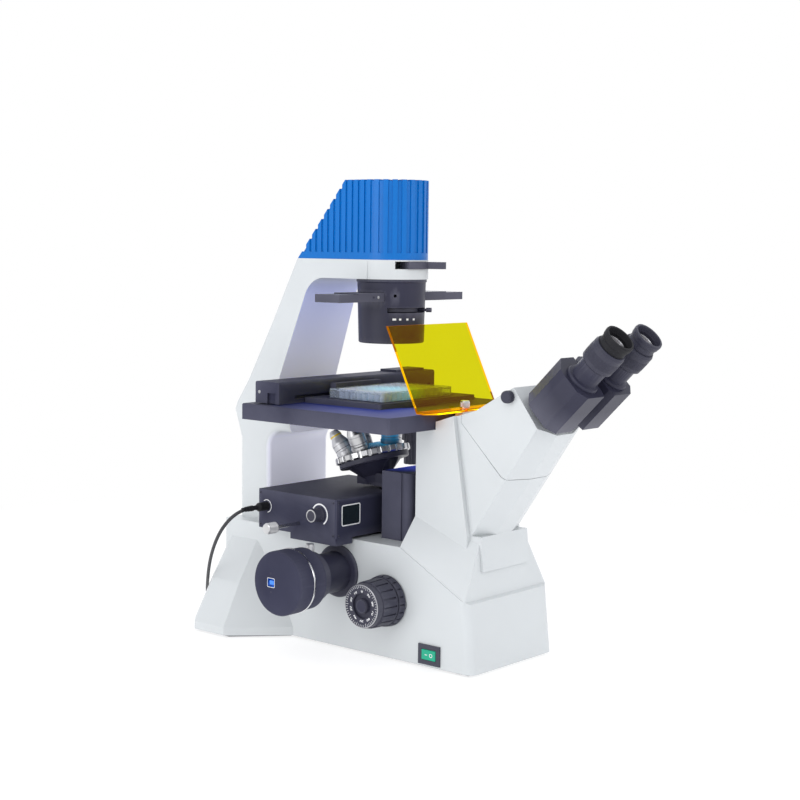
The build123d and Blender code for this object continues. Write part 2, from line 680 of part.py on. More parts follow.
PLATE_X = 10.0
PLATE_Y = 8.0


def plate_holder():
    """The sliding frame that holds a well plate and runs along the beam."""
    low = STAGE_TOP + RAIL_HEIGHT + SEAT_GAP
    rear = BEAM_FRONT - SEAT_GAP
    body = block(HOLDER_LEFT, HOLDER_RIGHT, HOLDER_FRONT, rear, low, low + HOLDER_HEIGHT)
    body = fillet(body.edges().filter_by(Axis.Z), radius=3.0)
    half_x = PLATE_LENGTH / 2 + PLATE_CLEARANCE
    half_y = PLATE_DEPTH / 2 + PLATE_CLEARANCE
    body -= block(PLATE_X - half_x, PLATE_X + half_x, PLATE_Y - half_y, PLATE_Y + half_y,
                  low + HOLDER_LEDGE, low + 20)
    body -= block(PLATE_X - half_x + 4, PLATE_X + half_x - 4, PLATE_Y - half_y + 4, PLATE_Y + half_y - 4,
                  low - 1, low + 20)
    body += block(PLATE_X - 40, PLATE_X + 40, rear - 9, rear, low + HOLDER_HEIGHT - 1, low + 20)
    low_slot = STAGE_TOP + RAIL_HEIGHT + SEAT_GAP + 5
    body += block(PLATE_X - 36, PLATE_X + 36, rear - 2, BEAM_FRONT + 4.5, low_slot + SEAT_GAP,
                  low_slot + 4 - SEAT_GAP)
    return body


def microplate():
    """A 96-well plate with its stepped skirt."""
    low = STAGE_TOP + RAIL_HEIGHT + SEAT_GAP + HOLDER_LEDGE
    half_x = PLATE_LENGTH / 2
    half_y = PLATE_DEPTH / 2
    body = block(-half_x, half_x, -half_y, half_y, low, low + 2.6)
    body += block(-half_x + 1.5, half_x - 1.5, -half_y + 1.5, half_y - 1.5, low + 2.6, low + PLATE_HEIGHT)
    wells = GridLocations(WELL_PITCH, WELL_PITCH, 12, 8)
    top = Plane.XY.offset(low + PLATE_HEIGHT)
    pockets = [top * place * RegularPolygon(WELL_RADIUS, 6) for place in wells]
    body -= extrude(Sketch() + pockets, amount=-WELL_DEPTH)
    return Pos(PLATE_X, PLATE_Y, 0) * body


# Shield

def shield():
    """The tinted acrylic shield: a bent foot on the stage and a panel leaning to the condenser."""
    low = STAGE_TOP
    lean = math.tan(math.radians(SHIELD_LEAN))
    rise = SHIELD_TOP - low
    skin = SHIELD_THICKNESS / math.cos(math.radians(SHIELD_LEAN))
    outline = [(SHIELD_FRONT, low), (SHIELD_BEND_Y, low), (SHIELD_BEND_Y + lean * rise, SHIELD_TOP),
               (SHIELD_BEND_Y + lean * rise - skin, SHIELD_TOP),
               (SHIELD_BEND_Y + lean * SHIELD_THICKNESS - skin, low + SHIELD_THICKNESS),
               (SHIELD_FRONT, low + SHIELD_THICKNESS)]
    body = side_profile(outline, SHIELD_HALF_WIDTH)
    front_corners = body.edges().filter_by(Axis.Z).filter_by(lambda e: e.center().Y < SHIELD_FRONT + 1)
    body = chamfer(front_corners, 11.0)
    body -= shield_screw_hole()
    return body


def shield_screw_hole():
    """The hole through the shield's foot and down into its boss."""
    return rod((0, SHIELD_SCREW_Y, STAGE_TOP - 11), (0, 0, 1), SHIELD_SCREW_RADIUS + RUNNING_FIT, 20)


def shield_screw():
    """The knurled screw that holds the shield's foot."""
    low = STAGE_TOP + SHIELD_THICKNESS + SEAT_GAP
    head = turned(Plane((0, SHIELD_SCREW_Y, low)), [(0, 0), (5.2, 0), (5.2, 7), (4.4, 8), (0, 8)])
    return head + rod((0, SHIELD_SCREW_Y, STAGE_TOP - 10), (0, 0, 1), SHIELD_SCREW_RADIUS, low - STAGE_TOP + 11)


# Nosepiece and focus

TILT = math.radians(NOSE_TILT)
NOSE_AXIS = (0, math.sin(TILT), math.cos(TILT))


def nose_plane(distance):
    """A plane across the turret's axis at a distance from the apex."""
    origin = (0, NOSE_AXIS[1] * distance, NOSE_APEX + NOSE_AXIS[2] * distance)
    return Plane(origin=origin, x_dir=(1, 0, 0), z_dir=NOSE_AXIS)


def nosepiece_base():
    """The fixed half of the turret: dovetail plate, cone and pivot."""
    arm = block(-14, 14, CARRIER_REAR, 38, 181, 196)
    arm += turned(nose_plane(0), [(0, 52), (15, 52), (17, 60), (34, 76), (36, 80.7), (0, 80.7)]) \
        & block(-60, 60, -60, 90, 181, 260)
    arm += turned(nose_plane(0), [(0, 78), (5, 78), (5, 93), (0, 93)])
    arm -= rod((0, 0, 150), (0, 0, 1), 10, 90)
    return arm


def turret_ring():
    """The revolving turret with its gripping ring and five seats square to their objectives."""
    seat = SEAT_DISTANCE * math.cos(TILT)
    drop = math.tan(TILT)
    seat_radius = SEAT_DISTANCE * math.sin(TILT)
    rim_top = seat - (RING_RADIUS - seat_radius) * drop
    crown = seat + (seat_radius - 14) * drop
    points = [(5 + RUNNING_FIT, RING_BOTTOM), (RING_RADIUS - 1, RING_BOTTOM), (RING_RADIUS, RING_BOTTOM + 1),
              (RING_RADIUS, rim_top), (14, crown), (0, crown), (0, 94), (5 + RUNNING_FIT, 94)]
    body = turned(nose_plane(0), points)
    for i in range(RING_NOTCHES):
        turn = 360.0 * (i + 0.5) / RING_NOTCHES
        notch = block(RING_RADIUS - 1.6, RING_RADIUS + 5, -1.5, 1.5, RING_BOTTOM - 1, RING_BOTTOM + 9)
        body -= nose_plane(0) * (Rot(0, 0, turn) * notch)
    for i in range(OBJECTIVE_COUNT):
        body -= objective_place(i) * Pos(0, 0, SEAT_DISTANCE - 30) * Cylinder(
            10, 60, align=(Align.CENTER, Align.CENTER, Align.MIN))
    return body


def objective_place(i):
    """The place whose Z axis is the optical axis of one objective; the first is upright."""
    around = Rot(0, 0, 360.0 * i / OBJECTIVE_COUNT)
    return nose_plane(0) * (around * Rot(NOSE_TILT, 0, 0))


def objective(i):
    """One objective: thread, shoulder, barrel and tapering nose."""
    length = OBJECTIVE_LENGTHS[i]
    shoulder = 11.0
    points = [(4.5, -5), (9.9, -5), (9.9, 0), (shoulder, 0), (shoulder, 4), (shoulder - 0.8, 5),
              (shoulder - 0.8, length * 0.5), (7.0, length * 0.72), (7.0, length - 5), (4.6, length),
              (2.2, length), (4.5, length * 0.6)]
    body = turned(Plane.XY, points)
    return objective_place(i) * Pos(0, 0, SEAT_DISTANCE) * body


def focus_carrier():
    """The moving block that carries the turret, with its rack running down into the base."""
    body = block(-CARRIER_HALF_WIDTH, CARRIER_HALF_WIDTH, CARRIER_FRONT, CARRIER_REAR, CARRIER_BOTTOM,
                 CARRIER_TOP)
    front = body.edges().filter_by(Axis.Z).filter_by(lambda e: e.center().Y < CARRIER_FRONT + 1)
    body = fillet(front, radius=7.0)
    for side in (-1, 1):
        x = side * CARRIER_HALF_WIDTH
        body -= block(x - 1.5, x + 1.5, CARRIER_FRONT + 8.5, CARRIER_FRONT + 12.5, CARRIER_BOTTOM - 1, CARRIER_TOP + 1)
    body -= rod((0, 0, 100), (0, 0, 1), 12, 200)
    return body + rack()


RACK_BACKLASH = 0.22
PITCH_RADIUS = PINION_MODULE * PINION_TEETH / 2
RACK_PITCH_Y = FOCUS_Y + PITCH_RADIUS
RACK_HALF_WIDTH = 6.0


def rack():
    """Straight teeth facing the pinion."""
    pitch = math.pi * PINION_MODULE
    back = block(-RACK_HALF_WIDTH, RACK_HALF_WIDTH, RACK_PITCH_Y + 1.25, RACK_PITCH_Y + 9, FOCUS_Z - 17,
                 CARRIER_BOTTOM)
    tooth_half = pitch / 4 - RACK_BACKLASH / 2
    lean = math.tan(math.radians(20))
    for i in range(-5, 6):
        z = FOCUS_Z + (i + 0.5) * pitch
        tip = tooth_half - lean * PINION_MODULE
        root = tooth_half + lean * 1.25
        outline = [(RACK_PITCH_Y - PINION_MODULE, z - tip), (RACK_PITCH_Y - PINION_MODULE, z + tip),
                   (RACK_PITCH_Y + 1.3, z + root), (RACK_PITCH_Y + 1.3, z - root)]
        back += side_profile(outline, RACK_HALF_WIDTH)
    return back


def pinion():
    """The pinion in the middle of the coarse shaft; one tooth points at the rack."""
    base_radius = PITCH_RADIUS - 1.25 * PINION_MODULE
    tooth_half = math.pi * PINION_MODULE / 4 - RACK_BACKLASH / 2
    points_root = tooth_half + 0.25
    points_tip = tooth_half - 0.42
    gear = Circle(base_radius)
    outline = [(base_radius - 0.6, -points_root), (PITCH_RADIUS, -tooth_half), (PITCH_RADIUS + 0.9, -points_tip),
               (PITCH_RADIUS + 0.9, points_tip), (PITCH_RADIUS, tooth_half), (base_radius - 0.6, points_root)]
    tooth = make_face(Polyline(*outline, close=True))
    for i in range(PINION_TEETH):
        gear += Rot(0, 0, 360.0 * i / PINION_TEETH) * tooth
    plane = Plane(origin=(-5, FOCUS_Y, FOCUS_Z), x_dir=(0, 1, 0), z_dir=(1, 0, 0))
    return extrude(plane * gear, amount=10)


KNOB_WALL_GAP = 1.0
TENSION_START = -(BASE_HALF_WIDTH + KNOB_WALL_GAP)
COARSE_START = TENSION_START - TENSION_LENGTH - 0.8
DIAL_START = COARSE_START - COARSE_LENGTH - SEAT_GAP


def x_plane(x):
    """A plane across the focus axis, facing the user's left."""
    return Plane(origin=(x, FOCUS_Y, FOCUS_Z), x_dir=(0, -1, 0), z_dir=(-1, 0, 0))


def coarse_shaft():
    """The hollow coarse shaft with its pinion, running in both base walls."""
    reach = -COARSE_START + 4
    neck = PITCH_RADIUS - 1.25 * PINION_MODULE
    shaft = rod((-reach, FOCUS_Y, FOCUS_Z), (1, 0, 0), SHAFT_RADIUS, reach - 8)
    shaft += rod((8, FOCUS_Y, FOCUS_Z), (1, 0, 0), SHAFT_RADIUS, reach - 8)
    shaft += rod((-8.1, FOCUS_Y, FOCUS_Z), (1, 0, 0), neck, 16.2)
    shaft += pinion()
    return shaft - rod((-reach - 1, FOCUS_Y, FOCUS_Z), (1, 0, 0), FINE_SHAFT_RADIUS + RUNNING_FIT, 2 * reach + 2)


def grip_knob(plane, radius, length, bore, count):
    """A knob with a grooved grip: a shallow groove between raised lands, about the plane's normal."""
    points = [(bore, 0), (radius - 1, 0), (radius, 1), (radius - 0.8, length - 1.2), (radius - 2, length),
              (bore, length)]
    knob = turned(Plane.XY, points)
    for i in range(count):
        groove = Rot(0, 0, 360.0 * i / count) * block(radius - 1.6, radius + 3, -0.9, 0.9, 3, length + 1)
        knob -= groove
    return plane * knob


def coarse_knobs():
    """The left and right coarse knobs, both fixed on the coarse shaft."""
    left = grip_knob(x_plane(COARSE_START), COARSE_RADIUS, COARSE_LENGTH, SHAFT_RADIUS, 18)
    right_plane = Plane(origin=(-COARSE_START, FOCUS_Y, FOCUS_Z), x_dir=(0, 1, 0), z_dir=(1, 0, 0))
    right = grip_knob(right_plane, COARSE_RADIUS, COARSE_LENGTH, SHAFT_RADIUS, 18)
    return Compound(children=[left, right])


def fine_shaft():
    """The fine focus shaft through the coarse one."""
    reach = -DIAL_START + 4
    return rod((-reach, FOCUS_Y, FOCUS_Z), (1, 0, 0), FINE_SHAFT_RADIUS, 2 * reach)


def fine_knobs():
    """The dished dial on the left and the plain fine knob on the right."""
    r = FINE_SHAFT_RADIUS
    dial = turned(x_plane(DIAL_START), [(r, 0), (DIAL_RADIUS, 0), (DIAL_RADIUS, DIAL_LENGTH - 2),
                                        (DIAL_RADIUS - 1.5, DIAL_LENGTH), (14, DIAL_LENGTH - 2),
                                        (14, DIAL_LENGTH - 5), (8.5, DIAL_LENGTH - 5), (8, DIAL_LENGTH - 1),
                                        (0, DIAL_LENGTH - 1), (0, 4), (r, 4)])
    right_plane = Plane(origin=(-DIAL_START, FOCUS_Y, FOCUS_Z), x_dir=(0, 1, 0), z_dir=(1, 0, 0))
    knob = turned(right_plane, [(r, 0), (16, 0), (16, 12), (14, 15), (0, 15), (0, 4), (r, 4)])
    return Compound(children=[dial, knob])


def tension_ring():
    """The grooved ring against the base wall that sets the coarse drag."""
    plane = x_plane(TENSION_START)
    return grip_knob(plane, TENSION_RADIUS, TENSION_LENGTH, SHAFT_RADIUS + RUNNING_FIT, 20)


# Fluorescence unit

def fluorescence_box():
    """The light unit between the columns, with its slider lug and the light well."""
    body = block(BOX_LEFT, BOX_RIGHT, BOX_FRONT, BOX_REAR, BOX_BOTTOM, BOX_TOP)
    body = fillet(body.edges().filter_by(Axis.Z), radius=2.0)
    body += block(BOX_LEFT, BOX_LEFT + 27, BOX_FRONT, 58, BOX_BOTTOM - 7, BOX_BOTTOM + 1)
    body += block(-60, BOX_RIGHT - 6, 14, BOX_REAR - 6, BASE_TOP, BOX_BOTTOM)
    body -= rod((0, 0, 100), (0, 0, 1), 12, 120)
    body -= window_block(BOX_FRONT - 1, BOX_FRONT + 1.5)
    body -= rod((BOX_LEFT - 1, JACK_Y, JACK_Z), (1, 0, 0), 3.0, 14)
    body -= rod((BOX_LEFT - 1, PULL_Y, PULL_Z), (1, 0, 0), PULL_RADIUS + RUNNING_FIT, 60)
    body -= rod((BOX_LEFT - 1, DIM_Y, DIM_Z), (1, 0, 0), 3.0 + RUNNING_FIT, 12)
    return body


JACK_Y = 96.0
JACK_Z = 158.0
PULL_Y = 45.0
PULL_Z = 144.0
PULL_RADIUS = 2.0
DIM_Y = 12.0
DIM_Z = 158.0
WINDOW_X = -80.5
WINDOW_Z = 158.0
WINDOW_WIDTH = 28.0
WINDOW_HEIGHT = 21.0


def window_block(front, back):
    """The space of the display window between two depths."""
    half = WINDOW_WIDTH / 2
    rise = WINDOW_HEIGHT / 2
    return block(WINDOW_X - half, WINDOW_X + half, front, back, WINDOW_Z - rise, WINDOW_Z + rise)


def display_window():
    """The dark pane over the display."""
    return window_block(BOX_FRONT, BOX_FRONT + 1.5)


def pull_rod():
    """The filter pull rod with its knurled grip."""
    rod_part = rod((BOX_LEFT - 40, PULL_Y, PULL_Z), (1, 0, 0), PULL_RADIUS, 70)
    grip = turned(Plane(origin=(BOX_LEFT - 36, PULL_Y, PULL_Z), z_dir=(-1, 0, 0)),
                  [(0, 0), (5, 0), (6, 1), (6, 15), (5, 16), (0, 16)])
    return rod_part + grip


def intensity_knob():
    """The knob that sets the fluorescence lamp."""
    plane = Plane(origin=(BOX_LEFT - SEAT_GAP, DIM_Y, DIM_Z), z_dir=(-1, 0, 0))
    knob = turned(plane, [(0, 0), (8.2, 0), (8.2, 2), (7.4, 3), (7.4, 13), (6.6, 14), (0, 14)])
    return knob + rod((BOX_LEFT - 1, DIM_Y, DIM_Z), (1, 0, 0), 3.0, 9)


# Camera

def camera_adapter():
    """The tube on the side port with its clamping collar."""
    start = -BASE_HALF_WIDTH
    collar = CAMERA_BACK + SEAT_GAP
    plane = Plane(origin=(start, CAMERA_Y, CAMERA_Z), x_dir=(0, 1, 0), z_dir=(-1, 0, 0))
    length = start - collar
    bore = CAMERA_NOSE_RADIUS + RUNNING_FIT
    points = [(bore, 0), (30, 0), (30, 3), (ADAPTER_RADIUS, 5), (ADAPTER_RADIUS, length - 14),
              (28, length - 12), (28, length), (bore, length)]
    body = turned(plane, points)
    return body - rod((collar + 7, CAMERA_Y, CAMERA_Z), (0, 0, 1), 2.0 + RUNNING_FIT, 60)


def camera_screw():
    """The thumbscrew in the adapter's collar."""
    x = CAMERA_BACK + SEAT_GAP + 7
    shank = rod((x, CAMERA_Y, CAMERA_Z + CAMERA_NOSE_RADIUS + 1), (0, 0, 1), 2.0, 14)
    head = rod((x, CAMERA_Y, CAMERA_Z + 28 + SEAT_GAP), (0, 0, 1), 4.5, 9)
    return shank + head


def camera_body():
    """The round camera with its nose in the adapter."""
    plane = Plane(origin=(CAMERA_BACK, CAMERA_Y, CAMERA_Z), x_dir=(0, -1, 0), z_dir=(-1, 0, 0))
    length = CAMERA_BACK - CAMERA_FACE
    r = CAMERA_RADIUS
    points = [(0, 0), (r - 3, 0), (r - 1.5, 2), (r - 1.5, 21), (r - 2.5, 21), (r - 2.5, 22), (r, 22),
              (r, length - 3), (r - 1, length - 1), (r - 3, length), (0, length)]
    body = turned(plane, points)
    body += rod((CAMERA_BACK - 1, CAMERA_Y, CAMERA_Z), (1, 0, 0), CAMERA_NOSE_RADIUS, 31)
    body -= rod((CAMERA_BACK + 1, CAMERA_Y, CAMERA_Z), (1, 0, 0), CAMERA_NOSE_RADIUS - 3, 31)
    return body - block(CAMERA_FACE - 1, CAMERA_FACE + 9, CAMERA_Y + 3, CAMERA_Y + 15, CAMERA_Z - 5.5, CAMERA_Z + 5.5)


# Binocular head

SLOPE = math.radians(BINO_TILT)
BINO_DIRECTION = (0, -math.cos(SLOPE), math.sin(SLOPE))
BINO_CENTRE = ((NECK_TIP_LOW[0] + NECK_TIP_HIGH[0]) / 2, (NECK_TIP_LOW[1] + NECK_TIP_HIGH[1]) / 2)
BINO_LIFT = 4.0


def bino_point(x, offset, along):
    """A point in the head's own frame: across, up and back from the centre line, and along the tubes."""
    along += BINO_LIFT
    y = BINO_CENTRE[0] + math.sin(SLOPE) * offset - math.cos(SLOPE) * along
    z = BINO_CENTRE[1] + math.cos(SLOPE) * offset + math.sin(SLOPE) * along
    return (x, y, z)


def bino_plane(x, offset, along):
    """A plane across the tubes, with its Y axis up and back."""
    return Plane(origin=bino_point(x, offset, along), x_dir=(1, 0, 0), z_dir=BINO_DIRECTION)


def bino_base():
    """The flange on the neck with the hinge pin of both housings."""
    flange = extrude(bino_plane(0, -4, -3.5) * RectangleRounded(62, 50, 14), amount=3.5 + HOUSING_START - SEAT_GAP)
    flange -= neck_body()
    flange = flange.solids().sort_by(SortBy.VOLUME)[-1]
    flange -= rod(bino_point(0, TUBE_OFFSET / 2, -30), BINO_DIRECTION, LIGHT_BORE - 4, 60)
    pin = rod(bino_point(0, HINGE_OFFSET, 0), BINO_DIRECTION, 4.0, HOUSING_END + 3)
    return flange + pin


def housing(side):
    """One swinging prism housing with its knuckle, collar and tube; side is -1 on the left."""
    outline = [(11, 17), (34, 17), (48, 3), (50, -6), (50, -28), (40, -38), (10, -38), (7, -30), (7, -8),
               (11.5, -3)]
    local = bino_plane(0, 0, HOUSING_START)
    length = HOUSING_END - HOUSING_START
    face = make_face(Polyline(*[(side * x, y) for x, y in outline], close=True))
    body = extrude(local * face, amount=length)
    middle = length / 2
    first = 0.0 if side < 0 else middle + SEAT_GAP
    knuckle_plane = bino_plane(0, HINGE_OFFSET, HOUSING_START + first)
    span = middle - SEAT_GAP
    body += extrude(knuckle_plane * Circle(9.5), amount=span)
    web = make_face(Polyline((0, HINGE_OFFSET + 9), (side * 14, HINGE_OFFSET + 9), (side * 14, HINGE_OFFSET - 9),
                             (0, HINGE_OFFSET - 9), close=True))
    body += extrude(bino_plane(0, 0, HOUSING_START + first) * web, amount=span)
    body -= rod(bino_point(0, HINGE_OFFSET, 0), BINO_DIRECTION, 4.0 + RUNNING_FIT, 90)
    x = side * EYE_HALF_SPACING
    collar = bino_plane(x, TUBE_OFFSET, HOUSING_END)
    body += turned(collar, [(0, 0), (19, 0), (19, 2), (18, 4), (TUBE_RADIUS, 5), (TUBE_RADIUS, TUBE_END - HOUSING_END),
                            (0, TUBE_END - HOUSING_END)])
    bore = rod(bino_point(x, TUBE_OFFSET, HOUSING_END - 6), BINO_DIRECTION, TUBE_BORE, 60)
    return body - bore


def eyepiece(side, cup):
    """An eyepiece that drops into its tube; the eyecup is part of it on request."""
    x = side * EYE_HALF_SPACING
    start = HOUSING_END + 4
    plane = bino_plane(x, TUBE_OFFSET, 0)
    sleeve = TUBE_BORE - RUNNING_FIT
    seat = TUBE_END + SEAT_GAP
    points = [(8, start), (sleeve, start), (sleeve, seat), (EYEPIECE_RADIUS - 2, seat), (EYEPIECE_RADIUS, seat + 2),
              (EYEPIECE_RADIUS, EYEPIECE_END - 3), (EYEPIECE_RADIUS - 1.5, EYEPIECE_END), (13, EYEPIECE_END),
              (13, EYEPIECE_END + 4), (8, EYEPIECE_END + 4)]
    body = turned(plane, points)
    if cup:
        body += turned(plane, eyecup_points(EYEPIECE_END))
    return body


def eyecup_points(start):
    """The ring and flared rubber cup at the top of an eyepiece."""
    inner = 13 + RUNNING_FIT
    return [(inner, start), (15.6, start), (15.6, start + 6), (16.6, start + 8), (17.2, CUP_END - 2),
            (16.6, CUP_END), (14.6, CUP_END), (13.4, CUP_END - 5), (inner, CUP_END - 6)]


def dioptre_cup():
    """The turning dioptre ring and cup of the left eyepiece."""
    return turned(bino_plane(-EYE_HALF_SPACING, TUBE_OFFSET, 0), eyecup_points(EYEPIECE_END + SEAT_GAP))


def head_screw():
    """The knurled screw that locks the binocular head in the neck."""
    y, z = HEAD_SCREW
    start = -(NECK_HALF_WIDTH + SEAT_GAP)
    plane = Plane(origin=(start, y, z), z_dir=(-1, 0, 0))
    head = turned(plane, [(0, 0), (6.5, 0), (6.5, 7), (5.5, 8), (0, 8)])
    return head + rod((start - 1, y, z), (1, 0, 0), HEAD_SCREW_RADIUS, 6)


# Optics inside the stand

MIRROR_Z = 52.0


def mirror_glass():
    """The mirror under the optical axis that sends the light up the neck."""
    plane = Plane(origin=(0, 0, MIRROR_Z - 12), x_dir=(1, 0, 0), z_dir=(0, -0.42, 0.91))
    glass = extrude(plane * Rectangle(44, 60), amount=4)
    return glass


def mirror_mount():
    """The wedge that carries the mirror on the base plate, with a post for the tube lens."""
    plane = Plane(origin=(0, 0, MIRROR_Z - 12), x_dir=(1, 0, 0), z_dir=(0, -0.42, 0.91))
    wedge = block(-22, 22, -26, 27, BASE_BOTTOM, 80)
    slab = extrude(plane * Rectangle(200, 200), amount=100)
    wedge -= slab
    return wedge


def tube_lens():
    """The tube lens, seated in the light well of the base."""
    return lens(BASE_TOP - WALL, LIGHT_BORE - 0.1, 4, 3)


def power_switch_bezel():
    """The black frame of the power switch."""
    half_y = SWITCH_WIDTH / 2
    half_z = SWITCH_HEIGHT / 2
    x = -BASE_HALF_WIDTH
    frame = block(x - 2, x, SWITCH_Y - half_y, SWITCH_Y + half_y, SWITCH_Z - half_z, SWITCH_Z + half_z)
    frame += block(x, x + 20, SWITCH_Y - half_y + 2.5, SWITCH_Y + half_y - 2.5, SWITCH_Z - half_z + 2.5,
                   SWITCH_Z + half_z - 2.5)
    frame -= block(x - 3, x + 14, SWITCH_Y - half_y + 5, SWITCH_Y + half_y - 5, SWITCH_Z - half_z + 5,
                   SWITCH_Z + half_z - 5)
    return frame - rocker_pin(ROCKER_PIN_RADIUS + RUNNING_FIT, 1.5)


def rocker_pin(radius, reach):
    """The rocker's pivot, which reaches into the bezel above and below."""
    half = SWITCH_HEIGHT / 2 - 5 + reach
    return rod((-BASE_HALF_WIDTH + ROCKER_PIVOT, SWITCH_Y, SWITCH_Z - half), (0, 0, 1), radius, 2 * half)


def power_rocker():
    """The rocker of the power switch on its pivot."""
    x = -BASE_HALF_WIDTH
    half_y = SWITCH_WIDTH / 2 - 5.6
    half_z = SWITCH_HEIGHT / 2 - 5.6
    body = block(x - 2.6, x + 6, SWITCH_Y - half_y, SWITCH_Y + half_y, SWITCH_Z - half_z, SWITCH_Z + half_z)
    return body + rocker_pin(ROCKER_PIN_RADIUS, 1.2)


def mains_inlet():
    """The mains inlet at the back, with its three blades."""
    half_x = INLET_WIDTH / 2
    half_z = INLET_HEIGHT / 2
    body = block(INLET_X - half_x, INLET_X + half_x, 172, BASE_REAR, INLET_Z - half_z, INLET_Z + half_z)
    body -= block(INLET_X - 12, INLET_X + 12, 184, BASE_REAR + 1, INLET_Z - 8, INLET_Z + 8)
    for x, z in ((-7, -2), (0, 2), (7, -2)):
        body += block(INLET_X + x - 1, INLET_X + x + 1, 183, BASE_REAR - 6, INLET_Z + z - 2, INLET_Z + z + 2)
    return body


def brightness_knob():
    """The knob of the transmitted light, on the right of the base."""
    x = BASE_HALF_WIDTH + SEAT_GAP
    plane = Plane(origin=(x, BRIGHTNESS_Y, BRIGHTNESS_Z), z_dir=(1, 0, 0))
    knob = turned(plane, [(0, 0), (11, 0), (11, 3), (9.5, 4), (9, 15), (8, 16), (0, 16)])
    return knob + rod((x + 1, BRIGHTNESS_Y, BRIGHTNESS_Z), (-1, 0, 0), 3.0, 12)


# Lead of the fluorescence unit

PLUG_START = BOX_LEFT - 0.2
PLUG_END = PLUG_START - 24.0

CORD_POINTS = [
    (PLUG_END, JACK_Y, JACK_Z),
    (PLUG_END - 11, JACK_Y, JACK_Z),
    (PLUG_END - 20.5, JACK_Y + 4, JACK_Z - 4),
    (PLUG_END - 25, JACK_Y + 12.5, JACK_Z - 12.5),
    (PLUG_END - 23.5, JACK_Y + 27, JACK_Z - 26.5),
    (PLUG_END - 15, JACK_Y + 46, JACK_Z - 45),
    (PLUG_END - 2.5, JACK_Y + 66, JACK_Z - 64.5),
    (PLUG_END + 13.5, JACK_Y + 87, JACK_Z - 84),
    (PLUG_END + 32, JACK_Y + 109, JACK_Z - 103.5),
    (PLUG_END + 50.5, JACK_Y + 130, JACK_Z - 122),
    (PLUG_END + 68.5, JACK_Y + 148, JACK_Z - 138.5),
    (PLUG_END + 87, JACK_Y + 162, JACK_Z - 150),
    (PLUG_END + 106.5, JACK_Y + 171.5, CORD_RADIUS + 0.3),
    (PLUG_END + 128.5, JACK_Y + 178, CORD_RADIUS),
    (PLUG_END + 151, JACK_Y + 183.5, CORD_RADIUS),
]


def corner_radii(points):
    """The largest arc at each corner that its two runs leave room for."""
    radii = []
    for before, here, after in zip(points, points[1:], points[2:]):
        first = Vector(*here) - Vector(*before)
        second = Vector(*after) - Vector(*here)
        turn = math.radians(first.get_angle(second))
        radii.append(0.45 * min(first.length, second.length) / math.tan(turn / 2))
    return radii


def dc_plug():
    """The barrel plug with its tapering tail."""
    plane = Plane(origin=(PLUG_START, JACK_Y, JACK_Z), z_dir=(-1, 0, 0))
    return turned(plane, [(0, -9), (2.7, -9), (2.7, 0), (5, 0), (5, 13), (2.9, 16), (2.4, 23.9), (0, 23.9)])


def dc_cord():
    """The lead from the plug to where its coil begins."""
    radii = corner_radii(CORD_POINTS)
    path = FilletPolyline(*CORD_POINTS, radius=radii)
    start = Plane(origin=path @ 0, z_dir=path % 0)
    lead = sweep(start * Circle(CORD_RADIUS), path=path)
    return lead, path.length, path % 1


def coil_facts(free_length, direction):
    """Centre, inner and outer radius of the coil that holds a length of lead in two layers."""
    turns = free_length / (2 * math.pi * COIL_TURN_RADIUS)
    width = CORD_RADIUS * 2 * math.ceil(turns / 2)
    outer = COIL_TURN_RADIUS + width / 2
    reach = math.sqrt(outer ** 2 - COIL_TURN_RADIUS ** 2)
    sideways = Vector(-direction.Y, direction.X, 0)
    centre = Vector(*CORD_POINTS[-1]) + direction * reach + sideways * COIL_TURN_RADIUS
    return centre, COIL_TURN_RADIUS - width / 2, outer


def dc_coil(centre, inner, outer):
    """The unseen rest of the lead, coiled flat on the bench; its outer form only."""
    return tube((centre.X, centre.Y, 0), (0, 0, 1), outer, inner, CORD_RADIUS * 4)


def dc_adapter(centre, outer):
    """The plug-in supply at the far end of the lead, lying beside the coil."""
    y = centre.Y - outer + CORD_RADIUS
    x = centre.X + outer + ADAPTER_TAIL - 20
    half = ADAPTER_WIDTH / 2
    body = block(x, x + ADAPTER_LENGTH, y - half, y + half, 0, ADAPTER_DEPTH)
    body = fillet(body.edges().filter_by(Axis.X), radius=5.0)
    body = chamfer(body.faces().sort_by(Axis.X)[-1].edges(), 2.0)
    tail = turned(Plane(origin=(x, y, CORD_RADIUS * 3), z_dir=(-1, 0, 0)),
                  [(0, -1), (CORD_RADIUS * 2, -1), (CORD_RADIUS * 1.2, ADAPTER_TAIL), (0, ADAPTER_TAIL)])
    body += tail - rod((centre.X, centre.Y, -1), (0, 0, 1), outer, ADAPTER_DEPTH)
    for side in (-1, 1):
        pin = rod((x + ADAPTER_LENGTH - 1, y + side * PIN_SPACING / 2, ADAPTER_DEPTH / 2), (1, 0, 0), PIN_RADIUS,
                  PIN_LENGTH + 1)
        body += chamfer(pin.faces().sort_by(Axis.X)[-1].edges(), 0.8)
    return body


